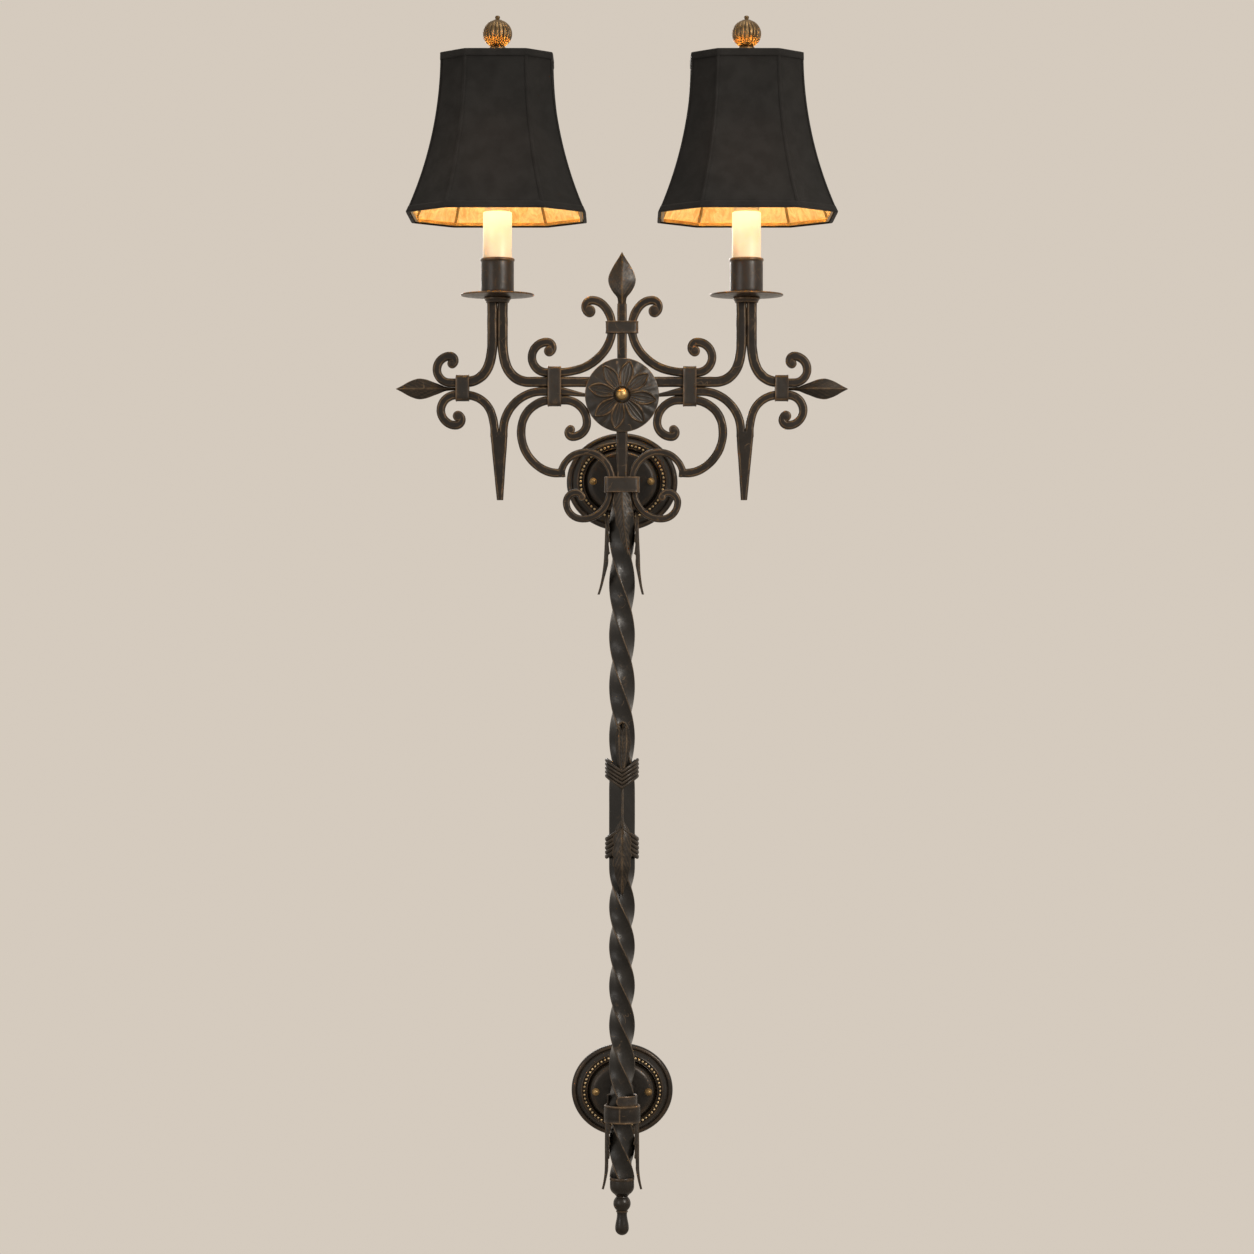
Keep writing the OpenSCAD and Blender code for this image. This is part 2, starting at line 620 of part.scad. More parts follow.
module hip_leaves() color(iron) translate([0, -frame_out, hip_low_z - seat_gap]) {
  hung_leaf([[0, 3.8, bar_half(hip_low_z) + 0.4], [0.18, 6.8, bar_side / 2 + 1.6],
             [0.4, 10.6, bar_r + 0.6], [0.65, 8, bar_r + 1.8], [0.85, 4.6, bar_r + 1.4],
             [1, 0.6, bar_r + 0.6]], 57, 3.5, 0.01);
  for (side = [90, -90]) rotate(side) translate([0, 0, -20])
    hung_leaf([[0, 3.6, bar_r + 0.2], [0.3, 6.5, bar_r + 1], [0.55, 6.8, bar_r + 1],
               [0.75, 3.6, bar_r + 1.6], [0.9, 2.2, bar_r + 5], [1, 0.6, bar_r + 8.6]], 82, 4.5, 0.045);
}

module foot_leaves() color(iron) translate([0, -frame_out, foot_leaf_z])
  for (side = [90, -90]) rotate(side)
    hung_leaf([[0, 5.5, bar_r + 0.1], [0.22, 5.5, bar_r + 0.1], [0.35, 7, bar_r + 0.8],
               [0.55, 6.6, bar_r + 1], [0.75, 3.8, bar_r + 1], [0.9, 2.2, bar_r + 2.6],
               [1, 0.6, bar_r + 4.8]], foot_leaf_len, 4.5, 0.028);

// Long leaf on the front of the bar: a bud above, a stem, and a veined leaf below
module long_leaf() color(iron) translate([0, -frame_out, long_leaf_z]) {
  rows = [[0, 4.5], [0.035, 7.4], [0.08, 8.6], [0.14, 7.2], [0.21, 4.6], [0.27, 2.8], [0.5, 3],
          [0.59, 4], [0.65, 7], [0.74, 9.5], [0.82, 9], [0.91, 6], [0.965, 3], [1, 0.6]];
  steps = 34;
  loft([for (i = [steps:-1:0]) let (t = i / steps)
    hug_ring(lookup(t, rows), bar_r + seat_gap, 0.75 * leaf_t, -t * long_leaf_len)]);
}

// Strand laid round bar and leaf: it dips by fall at the front and the back
module strand(z, fall) {
  around = 26;
  sides = 6;
  ring_r = bar_r + strand_d / 2 + 2 * seat_gap;
  function lift(a) = ring_r + 1.7 * leaf_t * pow(max(0, cos(a)), 3);
  loft([for (i = [0:around - 1])
    let (a = 360 * i / around)
    [for (j = [0:sides - 1])
      let (b = -360 * j / sides, r = lift(a) + strand_d / 2 * cos(b))
      [r * sin(a), -r * cos(a), z + fall * abs(sin(a)) + strand_d / 2 * sin(b)]]], true);
}

module leaf_strands() color(iron) translate([0, -frame_out, 0])
  for (i = [0:strands - 1]) {
    strand(upper_strands_z - i * strand_pitch, 9);
    strand(lower_strands_z - i * strand_pitch, -7.5);
  }

module foot_band() color(iron) translate([0, -frame_out, foot_band_top - foot_band_h])
  difference() {
    inner_r = bar_r + 0.1 + leaf_t + 0.3;
    cylinder(h = foot_band_h, r = inner_r + band_t + 0.6);
    translate([0, 0, -over]) cylinder(h = foot_band_h + 2 * over, r = inner_r);
  }

// Turned drop under the bar: cup, ball, neck and drop
module bottom_finial() color(iron) translate([0, -frame_out, bar_low_z - seat_gap]) {
  rotate_extrude() polygon(concat(
    [[0, 0], [12.4, 0], [12.4, -9]],
    [for (a = [0:15:60]) [12.4 - 9 * (1 - cos(a)), -9 - 9 * sin(a)]],
    [[5.8, -18.2], [5.8, -19.5], [0, -19.5]]));
  translate([0, 0, -25.4]) sphere(8.6);
  rotate_extrude() polygon(concat(
    [[0, -30], [5.2, -30], [5, -36]],
    [for (a = [0:15:90]) [5 + 1.9 * pow(sin(a), 2), -36 - 15 * a / 90]],
    [for (a = [0:15:90]) [6.9 * cos(a), -51 - 7.2 * sin(a)]]));
}

// Stand-off arm from a plate's flat top, along -y, with its flange and threaded tail
module stand_off(length) rotate([90, 0, 0]) {
  translate([0, 0, plate_depth + seat_gap]) cylinder(h = flange_t, d = flange_d);
  translate([0, 0, plate_depth + seat_gap]) cylinder(h = length - plate_depth - seat_gap, d = arm_rod_d);
  translate([0, 0, 8]) cylinder(h = plate_depth, d = tail_d);
}

module upper_arm() color(iron) translate([0, 0, rod_z])
  stand_off(frame_out - bar_side / 2 - 4 * seat_gap - band_t);

// Lower arm, with a strap that cradles the twisted bar and ends in front of it
module lower_arm() color(iron) translate([0, 0, lower_arm_z]) {
  cradle_r = bar_r + 0.2;
  difference() {
    union() {
      stand_off(frame_out - cradle_r - 0.5);
      translate([0, -frame_out, -cradle_h / 2]) cylinder(h = cradle_h, r = cradle_r + 1.4);
    }
    translate([0, -frame_out, -cradle_h]) cylinder(h = 2 * cradle_h, r = cradle_r);
    translate([-0.4 * cradle_r - 2 * bar_side, -frame_out - 2 * bar_side, -cradle_h])
      cube([2 * bar_side, 2 * bar_side, 2 * cradle_h]);
  }
}

module arm_locknuts() color(iron) for (z = [rod_z, lower_arm_z])
  translate([0, -plate_depth + plate_t + locknut_t + seat_gap, z]) rotate([90, 0, 0])
    hex_nut(14, locknut_t, tail_d + 2 * seat_gap);

// Oval ring of radius r across, k times as high, at a distance from the wall
function oval(r, k, out) = [for (a = [0:7.5:352.5]) [r * cos(a), -out, k * r * sin(a)]];
// Front of a plate of half-width r from its rim to its flat top, t below the outer face
function plate_front(r, t) = concat(
  [[r - t, 0], [r - t, 2.2], [r - 1 - t, 4.2 - t / 2], [r - 3 - t / 2, 4.9 - t]],
  [for (a = [20:20:60]) [r - 4 - 10 * sin(a), 5.1 - t + 11 * (1 - cos(a)) * 1.15]],
  [[bead_share * r + 2.4, 11.6 - t], [bead_share * r - 2.2 - t / 2, 11.6 - t]],
  [for (a = [0:30:90]) [flat_share * r + (5 - t) * cos(a), plate_depth - 5 + (5 - t) * sin(a)]]);

// Oval wall plate of sheet, with a hole for the arm's tail and two for the strap's studs
module wall_plate(w, h, hole_z) difference() {
  outside = plate_front(w / 2, 0);
  inside = plate_front(w / 2, plate_t);
  loft(concat([for (i = [len(inside) - 1:-1:0]) oval(inside[i][0], h / w, inside[i][1])],
              [for (p = outside) oval(p[0], h / w, p[1])]));
  translate([0, 0, hole_z]) rotate([90, 0, 0]) cylinder(h = 2 * plate_depth, d = tail_d + 2 * seat_gap);
  for (x = [-1, 1]) translate([x * nut_share * w / 2, 0, 0]) rotate([90, 0, 0])
    cylinder(h = 2 * plate_depth, d = plate_stud_d + 2 * seat_gap);
}

module upper_plate() color(iron) wall_plate(upper_plate_w, upper_plate_h, rod_z);
module lower_plate() color(iron) translate([0, 0, -plate_drop])
  wall_plate(lower_plate_w, lower_plate_h, lower_arm_z + plate_drop);

module bead_ring(w, h) loft([for (a = [0:60:300])
  oval(bead_share * w / 2 + 1.4 * cos(a), h / w, 11.6 + 1.5 + 1.4 * sin(a))], true);

module bead_rings() color(bronze) {
  bead_ring(upper_plate_w, upper_plate_h);
  translate([0, 0, -plate_drop]) bead_ring(lower_plate_w, lower_plate_h);
}

module plate_nuts() color(brass)
  for (p = [[upper_plate_w, 0], [lower_plate_w, -plate_drop]], x = [-1, 1])
    translate([x * nut_share * p[0] / 2, -plate_depth - seat_gap, p[1]]) rotate([90, 0, 0])
      difference() {
        union() {
          cylinder(h = 1.6, d = plate_nut_d + 0.8);
          translate([0, 0, 3.4]) sphere(d = plate_nut_d);
        }
        translate([0, 0, -over]) cylinder(h = 3.6 + over, d = plate_stud_d + 2 * seat_gap);
      }

// Strap on the wall behind a plate, with two screw holes and two threaded studs
module strap(span, studs) {
  rotate([90, 0, 0]) difference() {
    linear_extrude(strap_t) difference() {
      union() {
        square([span, strap_w], center = true);
        for (x = [-1, 1]) translate([x * span / 2, 0]) circle(d = strap_w - 3);
      }
      circle(d = 11);
    }
    for (x = [-1, 1]) translate([x * span / 2, 0, -over])
      cylinder(h = strap_t + 2 * over, d = screw_hole_d);
  }
  for (x = [-1, 1]) translate([x * studs / 2, 0, 0]) rotate([90, 0, 0])
    cylinder(h = plate_depth + 3.2, d = plate_stud_d);
}

module mounting_straps() color("silver") {
  strap(upper_screw_span, nut_share * upper_plate_w);
  translate([0, 0, -plate_drop]) strap(lower_screw_span, nut_share * lower_plate_w);
}

module at_candle(side) translate([side * candle_spread, -frame_out, 0]) children();
module both_candles() for (side = [-1, 1]) at_candle(side) children();

module bored(d) difference() {
  children();
  translate([0, 0, stem_top_z - over]) cylinder(h = 60, d = d);
}

module stem_collars() color(iron) both_candles() bored(nipple_d + 2 * seat_gap)
  translate([0, 0, stem_top_z + seat_gap]) {
    cylinder(h = collar_h - 2.4, d1 = 2 * arm_w + 2.4, d2 = 2 * arm_w + 5.2);
    translate([0, 0, collar_h - 2.4]) cylinder(h = 2.4 - seat_gap, d = 2 * arm_w + 6.4);
  }

// Drip pan: a thin dish, flat under the cup and rising to its rolled rim
module drip_pans() color(iron) both_candles() bored(nipple_d + 2 * seat_gap)
  translate([0, 0, pan_z]) rotate_extrude() {
    flat_r = cup_d / 2 + 1;
    polygon([[0, 0], [flat_r, 0], [pan_d / 2 - 1, pan_dish], [pan_d / 2 - 1, pan_dish + pan_t],
             [flat_r, pan_t], [0, pan_t]]);
    translate([pan_d / 2 - 1, pan_dish + pan_t / 2]) circle(1, $fn = 24);
  }

module nipples() color(brass) both_candles() translate([0, 0, stem_top_z + seat_gap]) difference() {
  cylinder(h = nipple_len, d = nipple_d);
  translate([0, 0, 4]) cylinder(h = nipple_len, d = nipple_d - 2.6);
}

module cup_locknuts() color(brass) both_candles()
  translate([0, 0, cup_z + cup_t + seat_gap]) hex_nut(14, 4, nipple_d + 2 * seat_gap);

module candle_cup(side) color(iron) at_candle(side) bored(nipple_d + 2 * seat_gap)
  translate([0, 0, cup_z]) difference() {
    union() {
      cylinder(h = cup_h, d = cup_d);
      translate([0, 0, cup_h - 1.8]) cylinder(h = 1.8, d = cup_d + 1.6);
    }
    translate([0, 0, cup_t]) cylinder(h = cup_h, d = sleeve_d + 2 * seat_gap);
  }

module candle_sleeve(side) color(ivory) at_candle(side) translate([0, 0, sleeve_z]) difference() {
  cylinder(h = sleeve_top_z - sleeve_z, d = sleeve_d);
  translate([0, 0, -over]) cylinder(h = 200, d = sleeve_d - 2 * sleeve_t);
}

// Lamp holder: body inside the sleeve, and a threaded snout that stands out of it
module lamp_holder(side) color(ivory) at_candle(side) difference() {
  union() {
    translate([0, 0, holder_z]) cylinder(h = shoulder_z - holder_z, d = holder_d);
    translate([0, 0, shoulder_z]) cylinder(h = snout_h, d = snout_d);
  }
  translate([0, 0, bulb_base_z - 4]) cylinder(h = 60, d = holder_bore);
  translate([0, 0, holder_z - over]) cylinder(h = 60, d = nipple_d + 2 * seat_gap);
}

// Saddle under the holder's ring, with two posts for the harp's feet
module harp_saddle(side) color(brass) at_candle(side) {
  translate([0, 0, shoulder_z + seat_gap]) difference() {
    union() {
      cylinder(h = saddle_t, d = holder_d);
      translate([-saddle_x - post_d / 2, -3, 0]) cube([2 * saddle_x + post_d, 6, saddle_t]);
    }
    translate([0, 0, -over]) cylinder(h = 10, d = snout_d + 2 * seat_gap);
  }
  for (x = [-1, 1]) translate([x * saddle_x, 0, shoulder_z + saddle_t])
    cylinder(h = post_h, d = post_d);
}

module holder_rings() color(ivory) both_candles()
  translate([0, 0, shoulder_z + saddle_t + 2 * seat_gap]) difference() {
    cylinder(h = 5, d = ring_d);
    translate([0, 0, -over]) cylinder(h = 10, d = snout_d + 2 * seat_gap);
  }

module bulb_base(side) color("silver") at_candle(side) {
  translate([0, 0, bulb_base_z]) cylinder(h = bulb_glass_z - bulb_base_z - 1, d = bulb_base_d);
  translate([0, 0, bulb_base_z - 2.4]) cylinder(h = 2.4, d1 = 5, d2 = 9);
}

// Pear-shaped glass: a neck, a round shoulder and a pointed top, as arcs about the axis
module bulb_glass(side) color([1, 0.95, 0.82, 0.6]) at_candle(side)
  translate([0, 0, bulb_glass_z - 1 + seat_gap]) rotate_extrude() {
    r = bulb_d / 2;
    neck = 7.5;
    wide = 0.36 * bulb_len;
    polygon(concat([[0, 0], [neck, 0], [neck, 2]],
      [for (a = [0:15:90]) [neck + (r - neck) * sin(a), 2 + (wide - 2) * (1 - cos(a))]],
      [for (a = [15:15:75]) [r * cos(a), wide + (bulb_len - wide) * sin(a)]],
      [[0, bulb_len]]));
  }

// Harp: two feet that slip over the saddle's posts, a bow round the bulb, and a stud on top
module harp(side) color(brass) at_candle(side) {
  start = [saddle_x, foot_z + post_h + 1, 90];
  low = [[30, -25], [0, 18], [90, 25]];
  low_end = place(low, 3, start);
  shoulder = [60, 20];
  shoulder_end = after(low_end, shoulder);
  crown_r = shoulder_end[0] / sin(110);
  straight = harp_top_z - shoulder_end[1] - crown_r * (1 - cos(70));
  right = concat([start], walk(start, concat(low, [[0, straight], shoulder, [crown_r, 70]])));
  loft([for (i = [0:2 * len(right) - 2])
    let (k = i < len(right) ? i : 2 * len(right) - 2 - i, p = right[k], s = i < len(right) ? 1 : -1)
    [for (b = [0:-45:-315]) [s * (p[0] - harp_d / 2 * cos(b) * sin(p[2])), harp_d / 2 * sin(b),
      p[1] + harp_d / 2 * cos(b) * cos(p[2])]]]);
  for (x = [-1, 1]) translate([x * saddle_x, 0, foot_z]) difference() {
    cylinder(h = post_h + 3, d = foot_d);
    translate([0, 0, -over]) cylinder(h = post_h - 1 + over, d = post_d + 2 * turn_gap);
  }
  translate([0, 0, boss_top_z - boss_h]) cylinder(h = boss_h, d = boss_d);
  translate([0, 0, boss_top_z - over]) cylinder(h = spider_t + finial_neck_h - 1, d = harp_stud_d);
}

// Half-width of the shade at a height above its lower rim, flared on one arc
shade_arc_r = (shade_h * shade_h + shade_flare * shade_flare) / (2 * shade_flare);
function half_at(h) = shade_top_w / 2 + shade_arc_r
  - sqrt(shade_arc_r * shade_arc_r - (shade_h - h) * (shade_h - h));
// Eight corners of the shade at a height, moved in by inset
function corners(h, inset) = let (a = half_at(h) - inset, b = shade_side * half_at(h) - 0.414 * inset)
  [for (p = [[a, -b], [a, b], [b, a], [-b, a], [-a, b], [-a, -b], [-b, -a], [b, -a]])
    [p[0], p[1], shade_low_z + h]];
// Wall of the shade between two insets and two heights
module shade_wall(outer, inner, low, high, steps) loft(concat(
  [for (i = [0:steps]) corners(low + (high - low) * i / steps, outer)],
  [for (i = [steps:-1:0]) corners(low + (high - low) * i / steps, inner)]), true);

module shade_cover(side) color(black_cloth) at_candle(side)
  shade_wall(0, cloth_t, 0, shade_h, 16);

module shade_lining(side) color(gold_leaf) at_candle(side)
  shade_wall(cloth_t + seat_gap, cloth_t + seat_gap + lining_t, 0, shade_h, 16);

module shade_trim(side) color(black_cloth) at_candle(side) {
  shade_wall(-0.9, -0.1, 0, 6.5, 2);
  shade_wall(-0.9, -0.1, shade_h - 7, shade_h, 2);
}

// Wire frame: a ring at each end, eight uprights in the corners, and a spider with its washer
module shade_frame(side) color(brass) at_candle(side) {
  for (z = [1, spider_z - shade_low_z - 1]) translate([0, 0, shade_low_z + z])
    linear_extrude(ring_h) difference() {
      polygon([for (p = corners(z + ring_h, frame_inset)) [p[0], p[1]]]);
      polygon([for (p = corners(z + ring_h, frame_inset + ring_w)) [p[0], p[1]]]);
    }
  shade_uprights();
  difference() {
    arm_l = shade_top_w / 2 - frame_inset - ring_w / 2;
    union() {
      translate([0, 0, spider_z]) cylinder(h = spider_t, d = washer_d);
      for (a = [0, 90]) rotate(a) translate([-arm_l, -3, spider_z]) cube([2 * arm_l, 6, spider_t]);
    }
    translate([0, 0, spider_z - over])
      cylinder(h = spider_t + 2 * over, d = harp_stud_d + 2 * stud_gap);
  }
}

module shade_uprights() {
  wire_r = 1.2;
  corner = sqrt(1 + shade_side * shade_side);
  top_r = corner * shade_top_w / 2 - frame_inset - 1.6;
  flare = corner * shade_flare;
  arc_r = (shade_h * shade_h + flare * flare) / (2 * flare);
  from_a = asin(6 / arc_r);
  to_a = asin((shade_h - 2) / arc_r);
  for (a = [0:90:270], s = [-1, 1]) rotate(a + s * atan(shade_side))
    translate([top_r + arc_r, 0, shade_top_z]) rotate([90, 0, 0]) rotate(180 + from_a)
      rotate_extrude(angle = to_a - from_a, $fn = 480) translate([arc_r, 0]) circle(wire_r, $fn = 16);
}

// Ribbed ball whose lobes fade out at its poles
module ribbed_ball(d, h) loft([for (i = [0:10]) let (b = -66 + 13.2 * i)
  [for (j = [0:4 * ribs - 1])
    let (a = 90 * j / ribs, lobe = 1 - 0.09 * cos(b * 90 / 66) * (1 - abs(cos(ribs * a / 2))),
         r = d / 2 * cos(b) * lobe)
    [r * cos(a), r * sin(a), h / 2 * (sin(b) / sin(66) + 1)]]]);

module finial(side) color(bronze) at_candle(side) translate([0, 0, finial_z]) {
  difference() {
    rotate_extrude() polygon([[0, 0], [9, 0], [9, 2], [5.6, 4], [5.2, 10], [8, 12.4],
      [8, finial_neck_h], [5, finial_neck_h + 1], [0, finial_neck_h + 1]]);
    translate([0, 0, -over]) cylinder(h = finial_neck_h - 1, d = harp_stud_d + 2 * stud_gap);
  }
  ball_h = 0.88 * finial_d;
  translate([0, 0, finial_neck_h]) ribbed_ball(finial_d, ball_h);
  translate([0, 0, finial_neck_h + ball_h - 0.5]) {
    cylinder(h = 2.1, d = 8);
    translate([0, 0, 3.1]) sphere(2.6, $fn = 32);
  }
}

outer_arms();
inner_arms();
spike_scrolls();
upper_scrolls();
c_scrolls();
arch_scrolls();
centre_bar();
top_leaf();
side_leaves();
top_band();
inner_bands();
outer_bands();
hip_band();
rosette();
rosette_ball();
rosette_nut();
twisted_bar();
hip_leaves();
long_leaf();
leaf_strands();
foot_band();
foot_leaves();
bottom_finial();
upper_arm();
lower_arm();
arm_locknuts();
upper_plate();
lower_plate();
bead_rings();
plate_nuts();
mounting_straps();
stem_collars();
drip_pans();
nipples();
cup_locknuts();
holder_rings();
candle_cup(-1);  // left_candle_cup
candle_cup(1);  // right_candle_cup
candle_sleeve(-1);  // left_candle_sleeve
candle_sleeve(1);  // right_candle_sleeve
lamp_holder(-1);  // left_lamp_holder
lamp_holder(1);  // right_lamp_holder
harp_saddle(-1);  // left_harp_saddle
harp_saddle(1);  // right_harp_saddle
bulb_base(-1);  // left_bulb_base
bulb_base(1);  // right_bulb_base
bulb_glass(-1);  // left_bulb_glass
bulb_glass(1);  // right_bulb_glass
harp(-1);  // left_harp
harp(1);  // right_harp
shade_frame(-1);  // left_shade_frame
shade_frame(1);  // right_shade_frame
shade_cover(-1);  // left_shade_cover
shade_cover(1);  // right_shade_cover
shade_lining(-1);  // left_shade_lining
shade_lining(1);  // right_shade_lining
shade_trim(-1);  // left_shade_trim
shade_trim(1);  // right_shade_trim
finial(-1);  // left_finial
finial(1);  // right_finial
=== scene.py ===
"""Wall sconce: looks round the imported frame. Lengths are in millimetres until a mesh is made."""
import math
from math import cos, exp, pi, radians, sin, sqrt

import bmesh
import bpy
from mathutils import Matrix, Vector, noise

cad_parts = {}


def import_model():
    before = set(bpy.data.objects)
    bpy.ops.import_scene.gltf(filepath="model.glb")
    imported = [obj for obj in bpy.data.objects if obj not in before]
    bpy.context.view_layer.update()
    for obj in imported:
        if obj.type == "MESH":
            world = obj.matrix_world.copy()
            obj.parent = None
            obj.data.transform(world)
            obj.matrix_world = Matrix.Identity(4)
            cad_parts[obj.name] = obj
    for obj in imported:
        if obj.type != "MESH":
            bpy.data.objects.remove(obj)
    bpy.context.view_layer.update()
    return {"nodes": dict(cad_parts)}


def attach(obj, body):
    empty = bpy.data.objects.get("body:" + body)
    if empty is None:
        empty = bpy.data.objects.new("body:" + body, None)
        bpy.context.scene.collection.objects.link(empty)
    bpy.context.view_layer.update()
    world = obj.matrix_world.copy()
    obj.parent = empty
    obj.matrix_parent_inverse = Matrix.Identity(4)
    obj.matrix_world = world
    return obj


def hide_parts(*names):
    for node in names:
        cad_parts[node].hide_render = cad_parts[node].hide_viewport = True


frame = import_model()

MM = 0.001
ROOT = "sconce"

# Layout: the frame's middle in front of the wall, the candles and bands from the centre line
OUT = 100.0
CANDLE = 124.5
BAND_X = 67.6
OUTER_OUT = 35.0
OUTER_X = CANDLE + OUTER_OUT
ARM_Z = 96.0
STEM_RISE = 79.0
SEAT = 0.1
# Bars, from the photographed widths of their faces
ARM_W, SCROLL_W, ARCH_W, CENTRE_W, CENTRE_LOW = 10.2, 8.6, 7.0, 9.6, 11.2
DEPTH = 9.5
BAR_SIDE = 19.05
BAR_R = BAR_SIDE / sqrt(2)
UNEVEN = 0.22
CHAMFER = 1.7
TAU = 2 * pi


def sind(a):
    return sin(radians(a))


def cosd(a):
    return cos(radians(a))


# ---------------------------------------------------------------- materials
class Tree:
    """A node tree, emptied, with short calls."""

    def __init__(self, tree):
        self.tree = tree
        tree.nodes.clear()

    def put(self, socket, value):
        if hasattr(value, "is_output"):
            self.tree.links.new(value, socket)
        else:
            socket.default_value = value

    def new(self, kind, inputs=(), **values):
        """Adds a node with its settings, then fills inputs, by name or number, with constants or outputs."""
        node = self.tree.nodes.new(kind)
        for key, value in values.items():
            setattr(node, key, value)
        for key, value in dict(inputs).items():
            self.put(node.inputs[key], value)
        return node

    def math(self, op, a, b=0.0, clamp=False):
        return self.new("ShaderNodeMath", {0: a, 1: b}, operation=op, use_clamp=clamp).outputs[0]


class Nodes(Tree):
    """A material's tree round its shader."""

    def __init__(self, name):
        self.mat = bpy.data.materials.new(name)
        self.mat.use_nodes = True
        super().__init__(self.mat.node_tree)
        self.bsdf = self.new("ShaderNodeBsdfPrincipled")
        self.out = self.new("ShaderNodeOutputMaterial", {0: self.bsdf.outputs[0]})
        self.co = self.new("ShaderNodeTexCoord").outputs["Object"]

    def set(self, **values):
        """Sets the shader's sockets, by a constant or by an output."""
        for key, value in values.items():
            self.put(self.bsdf.inputs[key.replace("_", " ")], value)

    def noise(self, scale, detail=4.0, rough=0.55, distortion=0.0, vector=None):
        return self.new("ShaderNodeTexNoise", {"Vector": vector or self.co, "Scale": scale, "Detail": detail,
                                               "Roughness": rough, "Distortion": distortion}).outputs["Fac"]

    def range(self, value, low, high, to_low=0.0, to_high=1.0):
        return self.new("ShaderNodeMapRange", {"Value": value, "From Min": low, "From Max": high, "To Min": to_low,
                                               "To Max": to_high}, interpolation_type="SMOOTHSTEP").outputs[0]

    def mix(self, factor, a, b):
        a, b = [c if hasattr(c, "is_output") else (*c, 1.0) for c in (a, b)]
        return self.new("ShaderNodeMix", {"Factor": factor, 6: a, 7: b}, data_type="RGBA").outputs[2]

    def split(self, kind, source):
        return self.new("ShaderNodeSeparate" + kind, {0: source}).outputs

    def bump(self, height, distance, strength=1.0, **under):
        """Bump normal; under may give Normal, a bump that it lies on."""
        return self.new("ShaderNodeBump", {"Height": height, "Distance": distance, "Strength": strength,
                                           **under}).outputs[0]

    def scaled(self, scale):
        return self.new("ShaderNodeMapping", {"Vector": self.co, "Scale": scale}).outputs[0]

    def wear(self):
        return self.new("ShaderNodeAttribute", attribute_name="wear").outputs["Fac"]


def tinted(color, k):
    return tuple(c * k for c in color)


def forged(name, dark, bronze, patch, rough, edge, spec=0.3):
    """Blackened iron with bronze rubbed onto its edges, thin scars and a few worn spots."""
    scars, metal = 0.55, 0.35
    n = Nodes(name)
    wear = n.wear()
    big = n.noise(34, 5, 0.6)
    fine = n.noise(260, 4, 0.65)
    tint = n.mix(n.range(big, 0.35, 0.68), tinted(dark, 0.7), tinted(dark, 1.3))
    rub = n.math("MULTIPLY", n.range(n.noise(80, 6, 0.72, 0.6), 0.57, 0.75), patch, True)
    line = n.math("ABSOLUTE", n.math("SUBTRACT", n.noise(46, 2, 0.4, 0.3), 0.5))
    scar = n.math("MULTIPLY", n.range(line, 0.0, 0.009, scars, 0.0), n.range(n.noise(62, 3), 0.56, 0.62))
    worn = n.math("MULTIPLY", wear, n.range(n.noise(52, 5, 0.7), 0.36, 0.6, 0.16, edge), True)
    bare = n.math("MAXIMUM", n.math("MAXIMUM", rub, scar), worn)
    old = n.mix(n.range(fine, 0.4, 0.7), tinted(bronze, 0.72), bronze)
    n.set(Base_Color=n.mix(bare, tint, old), Specular_IOR_Level=spec, Metallic=n.math("MULTIPLY", bare, metal),
          Roughness=n.math("ADD", n.range(fine, 0.3, 0.75, rough - 0.07, rough + 0.1),
                           n.math("MULTIPLY", bare, -0.06)))
    hammer = n.bump(n.noise(75, 2, 0.5), 0.0009, 0.5)
    n.set(Normal=n.bump(fine, 0.0002, 0.6, Normal=hammer))
    return n.mat


def metal_paint(name, color, low, rough=0.35, metallic=1.0):
    """Plain metal or paint, mottled between two tones."""
    n = Nodes(name)
    f = n.noise(120, 5, 0.6)
    n.set(Base_Color=n.mix(n.range(f, 0.35, 0.65), low, color), Metallic=metallic,
          Roughness=n.range(f, 0.3, 0.7, rough, rough + 0.16), Normal=n.bump(n.noise(480, 3), 0.0001, 0.6))
    return n.mat


# name, iron, bronze, share of worn spots, roughness, rubbing of edges, specular level
iron_bar = forged("forged_bar", (0.0145, 0.0104, 0.0072), (0.22, 0.142, 0.078), 0.36, 0.44, 0.9)
iron_band = forged("forged_band", (0.0205, 0.0156, 0.0115), (0.24, 0.148, 0.078), 0.4, 0.4, 1.0, 0.4)
iron_leaf = forged("forged_leaf", (0.0155, 0.0118, 0.0085), (0.22, 0.148, 0.085), 0.3, 0.42, 0.85)
iron_wrap = forged("forged_wrap", (0.0155, 0.0122, 0.009), (0.16, 0.11, 0.068), 0.22, 0.4, 0.6)
iron_twist = forged("forged_twist", (0.0102, 0.0086, 0.0069), (0.25, 0.168, 0.1), 0.2, 0.35, 0.9, 0.36)
iron_plate = forged("forged_plate", (0.0095, 0.0072, 0.005), (0.11, 0.07, 0.04), 0.18, 0.36, 0.8, 0.36)
iron_rose = forged("forged_rosette", (0.0185, 0.0138, 0.0094), (0.3, 0.19, 0.105), 0.34, 0.38, 1.0, 0.44)
iron_cup = forged("forged_cup", (0.021, 0.0148, 0.0105), (0.22, 0.13, 0.062), 0.45, 0.36, 0.9, 0.4)
iron_turned = forged("forged_drop", (0.0105, 0.008, 0.0058), (0.17, 0.108, 0.06), 0.35, 0.32, 0.9, 0.38)
brass = metal_paint("aged_brass", (0.4, 0.275, 0.125), (0.24, 0.155, 0.068), 0.38)
rose_gold = metal_paint("rosette_ball_gold", (0.52, 0.355, 0.15), (0.38, 0.24, 0.09), 0.32)
bead_gold = metal_paint("bead_gold", (0.62, 0.49, 0.3), (0.36, 0.26, 0.14), 0.34)
wire_brass = metal_paint("wire_brass", (0.5, 0.33, 0.12), (0.35, 0.22, 0.08), 0.35)
